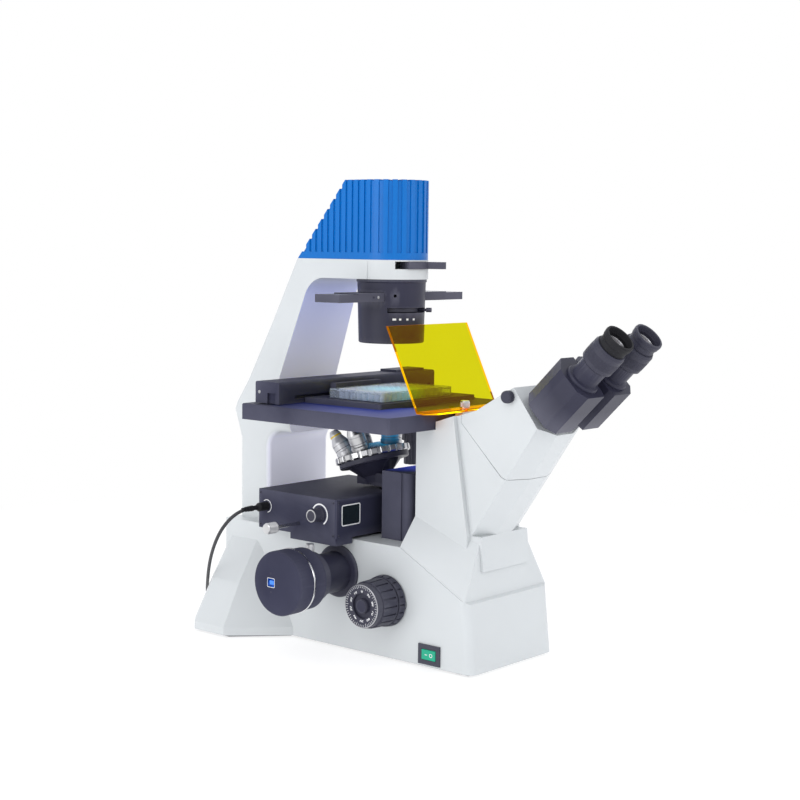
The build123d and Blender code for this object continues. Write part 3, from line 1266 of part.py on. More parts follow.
def build():
    """Make and write every node."""
    nodes = {
        "base_casting": base_casting(),
        "base_plate": base_plate(),
        "rubber_feet": rubber_feet(),
        "head_cover": head_cover(),
        "rear_column": rear_column(),
        "pillar_arm": pillar_arm(),
        "lamp_cover": lamp_cover(),
        "led_module": led_module(),
        "collector_lens": lens(ARM_TOP - 5, LIGHT_BORE - 0.1, 5, 5),
        "condenser_housing": condenser_housing(),
        "condenser_lens": condenser_lens(),
        "phase_slider": phase_slider(),
        "aperture_lever": aperture_lever(),
        "field_lever": field_lever(),
        "stage_plate": stage_plate(),
        "stage_insert": stage_insert(),
        "stage_beam": stage_beam(),
        "stage_y_knob": stage_y_knob(),
        "stage_x_knob": stage_x_knob(),
        "plate_holder": plate_holder(),
        "microplate": microplate(),
        "shield": shield(),
        "shield_screw": shield_screw(),
        "nosepiece_base": nosepiece_base(),
        "turret_ring": turret_ring(),
        "focus_carrier": focus_carrier(),
        "coarse_shaft": coarse_shaft(),
        "coarse_knobs": coarse_knobs(),
        "fine_shaft": fine_shaft(),
        "fine_knobs": fine_knobs(),
        "tension_ring": tension_ring(),
        "fluorescence_box": fluorescence_box(),
        "display_window": display_window(),
        "pull_rod": pull_rod(),
        "intensity_knob": intensity_knob(),
        "camera_adapter": camera_adapter(),
        "camera_screw": camera_screw(),
        "camera_body": camera_body(),
        "bino_base": bino_base(),
        "left_housing": housing(-1),
        "right_housing": housing(1),
        "left_eyepiece": eyepiece(-1, False),
        "right_eyepiece": eyepiece(1, True),
        "dioptre_cup": dioptre_cup(),
        "head_screw": head_screw(),
        "fold_mirror": Compound(children=[mirror_glass(), mirror_mount()]),
        "tube_lens": tube_lens(),
        "switch_bezel": power_switch_bezel(),
        "power_rocker": power_rocker(),
        "mains_inlet": mains_inlet(),
        "brightness_knob": brightness_knob(),
        "dc_plug": dc_plug(),
    }
    for i in range(OBJECTIVE_COUNT):
        nodes[f"objective_{i + 1}"] = objective(i)
    lead, lead_length, direction = dc_cord()
    centre, inner, outer = coil_facts(CORD_LENGTH - lead_length, direction)
    nodes["dc_coil"] = dc_coil(centre, inner, outer)
    nodes["dc_cord"] = lead - nodes["dc_coil"]
    nodes["dc_adapter"] = dc_adapter(centre, outer)
    for name, shape in nodes.items():
        save(shape, name)
    print(len(nodes), "nodes")


build()
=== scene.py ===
import math

import bmesh
import bpy
from mathutils import Matrix, Vector


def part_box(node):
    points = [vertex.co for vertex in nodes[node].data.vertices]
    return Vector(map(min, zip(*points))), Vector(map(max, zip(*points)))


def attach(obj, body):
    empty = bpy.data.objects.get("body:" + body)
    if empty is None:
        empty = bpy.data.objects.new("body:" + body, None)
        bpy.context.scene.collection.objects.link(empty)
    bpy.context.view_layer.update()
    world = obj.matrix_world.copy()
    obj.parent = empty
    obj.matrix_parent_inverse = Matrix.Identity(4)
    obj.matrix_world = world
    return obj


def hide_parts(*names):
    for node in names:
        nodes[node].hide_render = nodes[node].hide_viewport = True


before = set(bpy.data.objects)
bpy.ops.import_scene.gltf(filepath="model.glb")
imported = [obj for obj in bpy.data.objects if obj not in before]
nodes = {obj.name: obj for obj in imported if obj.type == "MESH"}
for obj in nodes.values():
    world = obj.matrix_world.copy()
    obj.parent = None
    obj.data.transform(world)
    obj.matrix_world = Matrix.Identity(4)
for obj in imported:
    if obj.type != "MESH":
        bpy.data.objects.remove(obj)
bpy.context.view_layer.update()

scene = bpy.context.scene
scene.view_settings.view_transform = "Standard"
MM = 0.001
TO_MM = 1000.0


# Camera, from the vanishing points of the photograph

PICTURE = 800.0
FOCAL_PIXELS = 1604.0
CAMERA_PLACE = (-1.3995, -1.2100, 0.464)
yaw = math.radians(49.5)
pitch = math.radians(-5.65)
roll = math.radians(0.66)
ahead = Vector((math.sin(yaw) * math.cos(pitch), math.cos(yaw) * math.cos(pitch), math.sin(pitch)))
level = Vector((math.cos(yaw), -math.sin(yaw), 0.0))
above = level.cross(ahead)
cam_x = level * math.cos(roll) + above * math.sin(roll)
cam_y = above * math.cos(roll) - level * math.sin(roll)
cam_data = bpy.data.cameras.new("camera")
cam_data.sensor_width = 36.0
cam_data.lens = cam_data.sensor_width * FOCAL_PIXELS / PICTURE
cam_data.clip_start = 0.05
cam_data.clip_end = 60.0
camera = bpy.data.objects.new("camera", cam_data)
scene.collection.objects.link(camera)
turn = Matrix((cam_x, cam_y, -ahead)).transposed().to_4x4()
camera.matrix_world = Matrix.Translation(CAMERA_PLACE) @ turn
scene.camera = camera


# Small helpers for shapes

def collect(mesh, name, material, body, smooth):
    """A mesh becomes a piece that rides a body; smooth is the sharp-edge angle, None for flat facets."""
    obj = bpy.data.objects.new(name, mesh)
    scene.collection.objects.link(obj)
    if smooth is not None:
        mesh.polygons.foreach_set("use_smooth", [True] * len(mesh.polygons))
        mesh.set_sharp_from_angle(angle=math.radians(smooth))
    obj.data.materials.append(material)
    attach(obj, body)
    return obj


def built(bm, name, material, body, smooth):
    """The faces gathered in a working mesh become a piece."""
    mesh = bpy.data.meshes.new(name)
    bm.to_mesh(mesh)
    bm.free()
    return collect(mesh, name, material, body, smooth)


def flat_piece(curve, name, origin, u, v, lift, material, body, smooth):
    """A filled flat curve becomes a piece in the (u, v) plane, lifted along u x v by so many mm."""
    ud = Vector(u).normalized()
    vd = Vector(v).normalized()
    n = ud.cross(vd)
    temp = bpy.data.objects.new(name, curve)
    mesh = bpy.data.meshes.new_from_object(temp)
    bpy.data.objects.remove(temp)
    bpy.data.curves.remove(curve)
    turned = Matrix((ud, vd, n)).transposed().to_4x4()
    mesh.transform(Matrix.Translation((Vector(origin) + n * lift) * MM) @ turned)
    return collect(mesh, name, material, body, smooth)


def axes(direction, hint=(0.0, 0.0, 1.0)):
    """Two directions square to an axis."""
    z = Vector(direction).normalized()
    h = Vector(hint)
    if abs(z.dot(h)) > 0.95:
        h = Vector((0.0, 1.0, 0.0))
    x = h.cross(z).normalized()
    return x, z.cross(x), z


def bridge(bm, a, b):
    """Faces between two rings of points, one of which may be a single point."""
    count = max(len(a), len(b))
    for i in range(count):
        j = (i + 1) % count
        if len(a) == 1:
            bm.faces.new((a[0], b[i], b[j]))
        elif len(b) == 1:
            bm.faces.new((a[i], a[j], b[0]))
        else:
            bm.faces.new((a[i], a[j], b[j], b[i]))


def turned_skin(bm, origin, direction, profile, segments):
    """A turned skin in a working mesh: (radius, height) points in mm about an axis."""
    x, y, z = axes(direction)
    o = Vector(origin)
    rings = []
    for r, h in profile:
        around = [2 * math.pi * i / segments for i in range(segments if r > 0.0 else 1)]
        rings.append([bm.verts.new((o + (x * math.cos(a) + y * math.sin(a)) * r + z * h) * MM)
                      for a in around])
    for a, b in zip(rings, rings[1:]):
        bridge(bm, a, b)


def lathe(name, origin, direction, profile, material, body, segments=64, smooth=35.0):
    """A turned piece from (radius, height) points in mm about an axis."""
    bm = bmesh.new()
    turned_skin(bm, origin, direction, profile, segments)
    bmesh.ops.recalc_face_normals(bm, faces=bm.faces)
    return built(bm, name, material, body, smooth)


def knurl(name, origin, direction, radius, start, length, material, body, count, rows, depth=0.45):
    """A diamond-knurled sleeve: facets rise and fall in a crossed pattern."""
    x, y, z = axes(direction)
    o = Vector(origin) * MM
    bm = bmesh.new()
    rings = []
    steps = rows * 2
    across = count * 2
    for k in range(steps + 1):
        ring = []
        for i in range(across):
            high = (i + k) % 2 == 0 and 0 < k < steps
            r = radius + (depth if high else 0.0)
            a = 2 * math.pi * i / across
            ring.append(bm.verts.new(o + (x * math.cos(a) + y * math.sin(a)) * r * MM
                                     + z * (start + length * k / steps) * MM))
        rings.append(ring)
    for a, b in zip(rings, rings[1:]):
        bridge(bm, a, b)
    bm.faces.new(rings[0])
    bm.faces.new(rings[-1])
    bmesh.ops.triangulate(bm, faces=[f for f in bm.faces if len(f.verts) == 4])
    bmesh.ops.recalc_face_normals(bm, faces=bm.faces)
    return built(bm, name, material, body, None)


def plate(name, origin, u, v, outline, thickness, material, body, hole=None):
    """A thin flat piece: a (u, v) outline in mm, raised along u x v, with one hole if given."""
    curve = bpy.data.curves.new(name, "CURVE")
    curve.dimensions = "2D"
    curve.fill_mode = "BOTH"
    curve.extrude = thickness * 0.5 * MM
    for loop in [outline] + ([hole] if hole else []):
        spline = curve.splines.new("POLY")
        spline.points.add(len(loop) - 1)
        for point, (a, b) in zip(spline.points, loop):
            point.co = (a * MM, b * MM, 0.0, 1.0)
        spline.use_cyclic_u = True
    return flat_piece(curve, name, origin, u, v, thickness * 0.5, material, body, 30.0)


def lettering(name, words, origin, u, v, size, material, body):
    """Raised generic figures, 0.1 mm thick."""
    curve = bpy.data.curves.new(name, "FONT")
    curve.body = words
    curve.size = size * MM
    curve.align_x = "CENTER"
    curve.align_y = "CENTER"
    curve.extrude = 0.05 * MM
    curve.offset = 0.06 * MM
    return flat_piece(curve, name, origin, u, v, 0.06, material, body, None)


def rounded(w, h, r, steps=5):
    """A rounded rectangle as a list of (u, v) points in mm."""
    points = []
    for cx, cy, start in ((w / 2 - r, h / 2 - r, 0), (-w / 2 + r, h / 2 - r, 90),
                          (-w / 2 + r, -h / 2 + r, 180), (w / 2 - r, -h / 2 + r, 270)):
        for k in range(steps + 1):
            a = math.radians(start + 90 * k / steps)
            points.append((cx + r * math.cos(a), cy + r * math.sin(a)))
    return points


def arc_band(radius, width, first, last):
    """A band along an arc from one angle to another, as an outline in mm."""
    steps = 24
    angles = [math.radians(first + (last - first) * k / steps) for k in range(steps + 1)]
    edges = ((radius + width / 2, angles), (radius - width / 2, angles[::-1]))
    return [(math.cos(a) * r, math.sin(a) * r) for r, along in edges for a in along]


def screw(name, origin, direction, r, material, body, height):
    """A small socket-head screw seen from its head."""
    profile = [(0, -0.4), (r, -0.4), (r, height * 0.7), (r * 0.86, height), (r * 0.55, height),
               (r * 0.5, height * 0.35), (0, height * 0.3)]
    return lathe(name, origin, direction, profile, material, body, segments=24, smooth=25.0)


# Materials

def combined(tree, operation, first, second):
    """Two values joined by one arithmetic step; the second may be a plain number."""
    node = tree.nodes.new("ShaderNodeMath")
    node.operation = operation
    tree.links.new(first, node.inputs[0])
    if isinstance(second, float):
        node.inputs[1].default_value = second
    else:
        tree.links.new(second, node.inputs[1])
    return node.outputs["Value"]


def mixed(tree, factor, first, second):
    """Two colours blended by a factor; the second may be a plain colour."""
    node = tree.nodes.new("ShaderNodeMix")
    node.data_type = "RGBA"
    tree.links.new(factor, node.inputs["Factor"])
    tree.links.new(first, node.inputs["A"])
    if isinstance(second, tuple):
        node.inputs["B"].default_value = (*second, 1.0)
    else:
        tree.links.new(second, node.inputs["B"])
    return node.outputs["Result"]


def normal_part(tree, letter):
    """One component of the surface's true normal."""
    geo = tree.nodes.new("ShaderNodeNewGeometry")
    split = tree.nodes.new("ShaderNodeSeparateXYZ")
    tree.links.new(geo.outputs["True Normal"], split.inputs["Vector"])
    return split.outputs[letter]


def ramped(tree, values, low, high, bottom, top):
    """A value that runs from bottom to top while another runs from low to high."""
    span = tree.nodes.new("ShaderNodeMapRange")
    span.inputs["From Min"].default_value = low
    span.inputs["From Max"].default_value = high
    span.inputs["To Min"].default_value = bottom
    span.inputs["To Max"].default_value = top
    tree.links.new(values, span.inputs["Value"])
    return span.outputs["Result"]


def seen_directly(tree, gloss_share):
    """1 for rays from the camera or through clear material, gloss_share for mirrored ones, otherwise 0."""
    path = tree.nodes.new("ShaderNodeLightPath")
    in_gloss = combined(tree, "MULTIPLY", path.outputs["Is Glossy Ray"], gloss_share)
    direct = combined(tree, "MAXIMUM", path.outputs["Is Camera Ray"], in_gloss)
    return combined(tree, "MAXIMUM", direct, path.outputs["Is Transmission Ray"])


def distance_from(tree, place):
    """How far a point of the surface is from a fixed place."""
    coord = tree.nodes.new("ShaderNodeTexCoord")
    away = tree.nodes.new("ShaderNodeVectorMath")
    away.operation = "DISTANCE"
    away.inputs[1].default_value = place
    tree.links.new(coord.outputs["Object"], away.inputs[0])
    return away.outputs["Value"]


def surface(name, colour, rough=0.4, metal=0.0, vary=0.06, grain=900.0, bump=0.12,
            rough_vary=0.1, coat=0.0, spec=0.5, wear=None, streak=None):
    """A painted, moulded or machined finish: colour drift, uneven roughness, fine bump and worn edges."""
    mat = bpy.data.materials.new(name)
    mat.use_nodes = True
    tree = mat.node_tree
    bsdf = tree.nodes["Principled BSDF"]
    bsdf.inputs["Metallic"].default_value = metal
    bsdf.inputs["Coat Weight"].default_value = coat
    bsdf.inputs["Coat Roughness"].default_value = 0.08
    bsdf.inputs["Specular IOR Level"].default_value = spec
    coord = tree.nodes.new("ShaderNodeTexCoord")
    source = coord.outputs["Object"]
    if streak is not None:
        stretch = tree.nodes.new("ShaderNodeMapping")
        stretch.inputs["Scale"].default_value = streak
        tree.links.new(source, stretch.inputs["Vector"])
        source = stretch.outputs["Vector"]
    broad = tree.nodes.new("ShaderNodeTexNoise")
    broad.inputs["Scale"].default_value = 14.0
    broad.inputs["Detail"].default_value = 4.0
    tree.links.new(coord.outputs["Object"], broad.inputs["Vector"])
    fine = tree.nodes.new("ShaderNodeTexNoise")
    fine.inputs["Scale"].default_value = grain
    fine.inputs["Detail"].default_value = 3.0
    tree.links.new(source, fine.inputs["Vector"])
    ramp = tree.nodes.new("ShaderNodeValToRGB")
    ramp.color_ramp.elements[0].position = 0.3
    ramp.color_ramp.elements[1].position = 0.7
    dark = [max(0.0, c * (1.0 - vary)) for c in colour]
    light = [min(1.0, c * (1.0 + vary * 0.6)) for c in colour]
    ramp.color_ramp.elements[0].color = (*dark, 1.0)
    ramp.color_ramp.elements[1].color = (*light, 1.0)
    tree.links.new(broad.outputs["Fac"], ramp.inputs["Fac"])
    out = ramp.outputs["Color"]
    if wear is not None:
        geo = tree.nodes.new("ShaderNodeNewGeometry")
        edge = ramped(tree, geo.outputs["Pointiness"], 0.53, 0.62, 0.0, 0.6)
        out = mixed(tree, combined(tree, "MULTIPLY", edge, broad.outputs["Fac"]), out, wear)
    tree.links.new(out, bsdf.inputs["Base Color"])
    spread = ramped(tree, broad.outputs["Fac"], 0.0, 1.0, max(0.02, rough - rough_vary * 0.5),
                    min(1.0, rough + rough_vary * 0.5))
    tree.links.new(spread, bsdf.inputs["Roughness"])
    relief = tree.nodes.new("ShaderNodeBump")
    relief.inputs["Strength"].default_value = bump
    relief.inputs["Distance"].default_value = 0.0002
    tree.links.new(fine.outputs["Fac"], relief.inputs["Height"])
    tree.links.new(relief.outputs["Normal"], bsdf.inputs["Normal"])
    return mat


def clear(name, colour, rough=0.03, vary=0.05):
    """Clear or tinted glass and acrylic, with faint waviness."""
    mat = surface(name, colour, rough=rough, vary=vary, grain=60.0, bump=0.03, rough_vary=0.02)
    bsdf = mat.node_tree.nodes["Principled BSDF"]
    bsdf.inputs["Transmission Weight"].default_value = 1.0
    bsdf.inputs["IOR"].default_value = 1.49
    return mat


def lit(name, colour, strength, base):
    """A surface that glows."""
    mat = surface(name, base, rough=0.35, vary=0.1, grain=500.0, bump=0.08)
    bsdf = mat.node_tree.nodes["Principled BSDF"]
    bsdf.inputs["Emission Color"].default_value = (*colour, 1.0)
    bsdf.inputs["Emission Strength"].default_value = strength
    return mat


def glow_near(mat, colour, place, inner, outer, strength):
    """Light from the fluorescence lamp, caught by a surface close to a place and gone at outer."""
    tree = mat.node_tree
    bsdf = tree.nodes["Principled BSDF"]
    bsdf.inputs["Emission Color"].default_value = (*colour, 1.0)
    tree.links.new(ramped(tree, distance_from(tree, place), inner, outer, strength, 0.0),
                   bsdf.inputs["Emission Strength"])
    return mat


SHIELD_LEAN = 25.6
LIT_SPOT = (0.0, 0.0, 0.292)
LIT_COLOUR = (0.06, 0.62, 0.72)
WHITE_PAINT = {"colour": (0.575, 0.597, 0.600), "rough": 0.40, "vary": 0.02, "grain": 1500.0, "bump": 0.10,
               "coat": 0.10}
BLACK_PAINT = {"colour": (0.034, 0.035, 0.062), "rough": 0.60, "vary": 0.14, "grain": 2400.0, "bump": 0.22,
               "spec": 0.06, "wear": (0.16, 0.16, 0.20)}


def shield_material():
    """Tinted acrylic: yellow through the sheet, orange at its cut edges and in its bent foot, with a painted
    orange glow, faint over the sheet and strongest at the edges.
    """
    mat = clear("tinted_sheet", (0.61, 0.62, 0.0), rough=0.02, vary=0.02)
    tree = mat.node_tree
    bsdf = tree.nodes["Principled BSDF"]
    geo = tree.nodes.new("ShaderNodeNewGeometry")
    lean = math.radians(SHIELD_LEAN)
    facing = tree.nodes.new("ShaderNodeVectorMath")
    facing.operation = "DOT_PRODUCT"
    facing.inputs[1].default_value = (0.0, -math.cos(lean), math.sin(lean))
    tree.links.new(geo.outputs["True Normal"], facing.inputs[0])
    flat = tree.nodes.new("ShaderNodeMath")
    flat.operation = "ABSOLUTE"
    tree.links.new(facing.outputs["Value"], flat.inputs[0])
    edge = ramped(tree, flat.outputs["Value"], 0.85, 0.95, 1.0, 0.0)
    base = bsdf.inputs["Base Color"].links[0].from_socket
    tree.links.new(mixed(tree, edge, base, (1.0, 0.40, 0.004)), bsdf.inputs["Base Color"])
    # Painted glow: faint orange light over the whole sheet, strongest where it is seen edge-on.
    bsdf.inputs["Emission Color"].default_value = (1.0, 0.26, 0.0, 1.0)
    bsdf.inputs["IOR"].default_value = 1.12
    tree.links.new(ramped(tree, edge, 0.0, 1.0, 0.042, 0.30), bsdf.inputs["Emission Strength"])
    return mat


def plate_material():
    """Clear moulded polystyrene, lit blue-green from below near the optical axis."""
    mat = surface("clear_well_plate", (0.80, 0.87, 0.97), rough=0.08, vary=0.03, grain=800.0, bump=0.04)
    bsdf = mat.node_tree.nodes["Principled BSDF"]
    bsdf.inputs["Transmission Weight"].default_value = 0.86
    bsdf.inputs["IOR"].default_value = 1.35
    return glow_near(mat, LIT_COLOUR, LIT_SPOT, 0.006, 0.040, 0.10)


def well_material():
    """The wells' thin conical walls, which catch more light than the flat outer wall."""
    mat = surface("clear_wells", (0.78, 0.82, 0.98), rough=0.22, vary=0.04, grain=800.0, bump=0.05)
    bsdf = mat.node_tree.nodes["Principled BSDF"]
    bsdf.inputs["Transmission Weight"].default_value = 0.35
    bsdf.inputs["IOR"].default_value = 1.4
    return glow_near(mat, LIT_COLOUR, LIT_SPOT, 0.006, 0.044, 0.20)


def pillar_material():
    """The stand's paint, with painted lavender light, as tint and faint glow, on the faces turned to the
    sample, strongest near the arm.
    """
    mat = surface("white_paint_painted_light", **WHITE_PAINT)
    tree = mat.node_tree
    bsdf = tree.nodes["Principled BSDF"]
    # Painted light: faces that look towards the sample take a lavender tint, deeper higher up.
    facing = ramped(tree, normal_part(tree, "Y"), -0.9, -0.2, 1.0, 0.0)
    base = bsdf.inputs["Base Color"].links[0].from_socket
    coord = tree.nodes.new("ShaderNodeTexCoord")
    place = tree.nodes.new("ShaderNodeSeparateXYZ")
    tree.links.new(coord.outputs["Object"], place.inputs["Vector"])
    behind = ramped(tree, place.outputs["Y"], 0.015, 0.045, 0.0, 1.0)
    inner = combined(tree, "MULTIPLY", facing, behind)
    height = ramped(tree, place.outputs["Z"], 0.12, 0.50, 0.0, 1.0)
    lavender_light = tree.nodes.new("ShaderNodeValToRGB")
    lavender_light.color_ramp.elements[0].color = (0.88, 0.88, 0.96, 1.0)
    lavender_light.color_ramp.elements[1].color = (0.40, 0.45, 0.84, 1.0)
    lavender_light.color_ramp.elements.new(0.50).color = (0.80, 0.80, 0.95, 1.0)
    lavender_light.color_ramp.elements.new(0.80).color = (0.46, 0.51, 0.86, 1.0)
    tree.links.new(height, lavender_light.inputs["Fac"])
    tree.links.new(mixed(tree, inner, base, lavender_light.outputs["Color"]), bsdf.inputs["Base Color"])
    # Painted glow: these faces also give off the same lavender light faintly.
    tree.links.new(lavender_light.outputs["Color"], bsdf.inputs["Emission Color"])
    tree.links.new(ramped(tree, inner, 0.0, 1.0, 0.0, 0.13), bsdf.inputs["Emission Strength"])
    return mat


def stage_material():
    """The black paint, with blue light from the objective caught by the faces that look up."""
    mat = surface("stage_paint", **BLACK_PAINT)
    tree = mat.node_tree
    bsdf = tree.nodes["Principled BSDF"]
    looks_up = ramped(tree, normal_part(tree, "Z"), 0.8, 0.95, 0.0, 1.0)
    near = ramped(tree, distance_from(tree, (-0.03, -0.05, 0.28)), 0.03, 0.16, 0.40, 0.0)
    bsdf.inputs["Emission Color"].default_value = (0.09, 0.13, 0.62, 1.0)
    tree.links.new(combined(tree, "MULTIPLY", looks_up, near), bsdf.inputs["Emission Strength"])
    return mat


WHITE = surface("white_paint", **WHITE_PAINT)
BLACK = surface("black_paint", **BLACK_PAINT)
BLACK_SMOOTH = surface("black_anodised", (0.030, 0.030, 0.052), rough=0.38, vary=0.12, grain=3200.0,
                       bump=0.10, spec=0.22, wear=(0.18, 0.18, 0.22))
MOULDED = surface("black_moulded", (0.038, 0.038, 0.058), rough=0.46, vary=0.12, grain=3600.0, bump=0.30,
                  spec=0.26, wear=(0.10, 0.10, 0.12))
RUBBER = surface("black_rubber", (0.012, 0.012, 0.015), rough=0.62, vary=0.15, grain=2600.0, bump=0.30,
                 spec=0.25)
BLUE = surface("blue_cover", (0.000, 0.136, 0.470), rough=0.30, vary=0.04, grain=2200.0, bump=0.06, spec=0.25)
SILVER = surface("satin_metal", (0.62, 0.62, 0.63), rough=0.28, metal=1.0, vary=0.12, grain=700.0, bump=0.16,
                 streak=(1.0, 1.0, 14.0))
BARREL = surface("light_barrel", (0.70, 0.70, 0.72), rough=0.30, metal=0.35, vary=0.06, grain=900.0,
                 bump=0.08)
CHROME = surface("bright_metal", (0.78, 0.78, 0.79), rough=0.14, metal=1.0, vary=0.08, grain=900.0, bump=0.05)
STEEL = surface("plain_steel", (0.48, 0.48, 0.50), rough=0.34, metal=1.0, vary=0.16, grain=900.0, bump=0.14)
SHEET = surface("grey_sheet", (0.18, 0.18, 0.19), rough=0.55, vary=0.12, grain=1200.0, bump=0.2)
MARK = surface("white_mark", (0.80, 0.80, 0.80), rough=0.55, vary=0.06, grain=1500.0, bump=0.1)
GREY_MARK = surface("grey_mark", (0.16, 0.17, 0.19), rough=0.5, vary=0.06, grain=1500.0, bump=0.1)
YELLOW = surface("yellow_band", (0.80, 0.58, 0.04), rough=0.4, vary=0.08, grain=1500.0, bump=0.1)
RED_BAND = surface("red_band", (0.55, 0.03, 0.02), rough=0.4, vary=0.08, grain=1500.0, bump=0.1)
GREEN_BAND = surface("green_band", (0.05, 0.40, 0.10), rough=0.4, vary=0.08, grain=1500.0, bump=0.1)
BLUE_BAND = surface("blue_band", (0.05, 0.20, 0.70), rough=0.4, vary=0.08, grain=1500.0, bump=0.1)
SCREEN = surface("display_glass", (0.004, 0.010, 0.012), rough=0.10, vary=0.2, grain=300.0, bump=0.02,
                 coat=0.5)
PORT = surface("port_plastic", (0.045, 0.24, 0.90), rough=0.35, vary=0.08, grain=1500.0, bump=0.1)
GLASS = clear("lens_glass", (0.93, 0.95, 0.97))
COATED = surface("coated_lens", (0.050, 0.012, 0.020), rough=0.05, vary=0.1, grain=60.0, bump=0.02,
                 rough_vary=0.02, coat=1.0, spec=0.8)
WIRE = surface("cord_sheath", (0.022, 0.022, 0.026), rough=0.45, vary=0.1, grain=1800.0, bump=0.2)
GREEN = lit("lit_green", (0.0, 0.62, 0.34), 0.22, base=(0.0, 0.25, 0.15))
STAGE = stage_material()
ACRYLIC = shield_material()
PLATE = plate_material()
WELLS = well_material()
PILLAR = pillar_material()
CARRIER = surface("carrier_paint", **BLACK_PAINT)
glow_near(CARRIER, (0.02, 0.06, 0.75), (0.0, -0.030, 0.216), 0.012, 0.046, 0.35)
RING = surface("turret_metal", (0.62, 0.62, 0.63), rough=0.26, metal=1.0, vary=0.12, grain=700.0, bump=0.16)
glow_near(RING, (0.02, 0.50, 0.95), (0.0, 0.012, 0.246), 0.004, 0.034, 0.55)
FIRST = surface("first_objective", (0.022, 0.022, 0.032), rough=0.34, vary=0.12, grain=3200.0, bump=0.10,
                spec=0.3)
glow_near(FIRST, (0.02, 0.45, 0.95), (0.0, 0.0, 0.262), 0.008, 0.034, 0.7)

FINISHES = {
    WHITE: ["base_casting", "head_cover"],
    PILLAR: ["rear_column", "pillar_arm"],
    CARRIER: ["focus_carrier"],
    RING: ["turret_ring"],
    FIRST: ["objective_1"],
    BLUE: ["lamp_cover"],
    STAGE: ["stage_plate"],
    BLACK: ["stage_insert", "stage_beam", "plate_holder", "fluorescence_box", "camera_body"],
    BLACK_SMOOTH: ["condenser_housing", "phase_slider", "aperture_lever", "field_lever", "nosepiece_base",
                   "camera_adapter", "bino_base", "left_housing", "right_housing"],
    MOULDED: ["coarse_knobs", "fine_knobs", "tension_ring", "stage_y_knob", "stage_x_knob",
              "intensity_knob", "brightness_knob", "head_screw", "switch_bezel", "mains_inlet",
              "left_eyepiece", "right_eyepiece", "dc_adapter"],
    RUBBER: ["rubber_feet", "dioptre_cup", "dc_plug"],
    BARREL: ["objective_3", "objective_4"],
    SILVER: ["objective_2", "objective_5", "coarse_shaft", "fine_shaft", "pull_rod", "shield_screw",
             "camera_screw", "led_module"],
    CHROME: ["fold_mirror"],
    SHEET: ["base_plate"],
    GLASS: ["collector_lens", "condenser_lens", "tube_lens"],
    ACRYLIC: ["shield"],
    PLATE: ["microplate"],
    SCREEN: ["display_window"],
    GREEN: ["power_rocker"],
    WIRE: ["dc_cord", "dc_coil"],
}
for material, names in FINISHES.items():
    for name in names:
        obj = nodes[name]
        for index in range(len(obj.material_slots)):
            obj.material_slots[index].material = material


# The DC lead: the route of the CAD tube, then the neat coil behind the stand

JACK_FACE = -105.2
PLUG_LENGTH = 24.0
PLUG_END = JACK_FACE - PLUG_LENGTH
JACK_Y = 96.0
JACK_Z = 158.0
route = [
    (PLUG_END, JACK_Y, JACK_Z),
    (PLUG_END - 11, JACK_Y, JACK_Z),
    (PLUG_END - 20.5, JACK_Y + 4, JACK_Z - 4),
    (PLUG_END - 25, JACK_Y + 12.5, JACK_Z - 12.5),
    (PLUG_END - 23.5, JACK_Y + 27, JACK_Z - 26.5),
    (PLUG_END - 15, JACK_Y + 46, JACK_Z - 45),
    (PLUG_END - 2.5, JACK_Y + 66, JACK_Z - 64.5),
    (PLUG_END + 13.5, JACK_Y + 87, JACK_Z - 84),
    (PLUG_END + 32, JACK_Y + 109, JACK_Z - 103.5),
    (PLUG_END + 50.5, JACK_Y + 130, JACK_Z - 122),
    (PLUG_END + 68.5, JACK_Y + 148, JACK_Z - 138.5),
    (PLUG_END + 87, JACK_Y + 162, JACK_Z - 150),
    (PLUG_END + 106.5, JACK_Y + 171.5, JACK_Z - 155.7),
    (PLUG_END + 128.5, JACK_Y + 178, JACK_Z - 156),
    (PLUG_END + 151, JACK_Y + 183.5, JACK_Z - 156),
]
COIL_RADIUS = 23.5
CORD_RADIUS = 2.0
LANES = (6.0, 2.0, -2.0, -6.0, -6.0, -2.0, 2.0, 6.0)
PER_TURN = 16


def coiled_route():
    """The route, then four turns inwards on the bench and four outwards on top of them."""
    end = Vector(route[-1])
    run = (end - Vector(route[-2])).normalized()
    side = Vector((-run.y, run.x, 0.0))
    outer = COIL_RADIUS + LANES[0] + CORD_RADIUS
    centre = end + run * math.sqrt(outer ** 2 - COIL_RADIUS ** 2) + side * COIL_RADIUS
    points = [Vector(p) for p in route]
    points[-2] -= side * 0.5 * LANES[0]
    points[-1] -= side * LANES[0]
    first = math.degrees(math.atan2(-side.y, -side.x))
    lanes = [COIL_RADIUS + offset for offset in LANES]
    last_lane = len(lanes) - 1
    low = CORD_RADIUS
    high = 3.0 * CORD_RADIUS
    step = 360.0 / PER_TURN
    whole = len(lanes) * 360.0 - (first % 360.0 - 270.0) % 360.0
    for k in range(int(whole / step)):
        turned_by = k * step
        lane = min(last_lane, int(turned_by // 360.0))
        part = turned_by - 360.0 * lane
        radius = lanes[lane]
        if part > 300.0 and lane < last_lane:
            radius += (lanes[lane + 1] - radius) * (part - 300.0) / 60.0
        height = low
        if lane > 3:
            height = high
        elif lane == 3 and part > 240.0:
            height = low + (high - low) * min(1.0, (part - 240.0) / 50.0)
        a = math.radians(first + turned_by)
        spread = radius / math.cos(math.pi / PER_TURN)
        points.append(centre + Vector((math.cos(a) * spread, math.sin(a) * spread, height - centre.z)))
    for ahead_by in (6.0, 14.0, 24.0, 36.0):
        points.append(Vector((centre.x + ahead_by, centre.y - COIL_RADIUS - LANES[-1], high)))
    return points


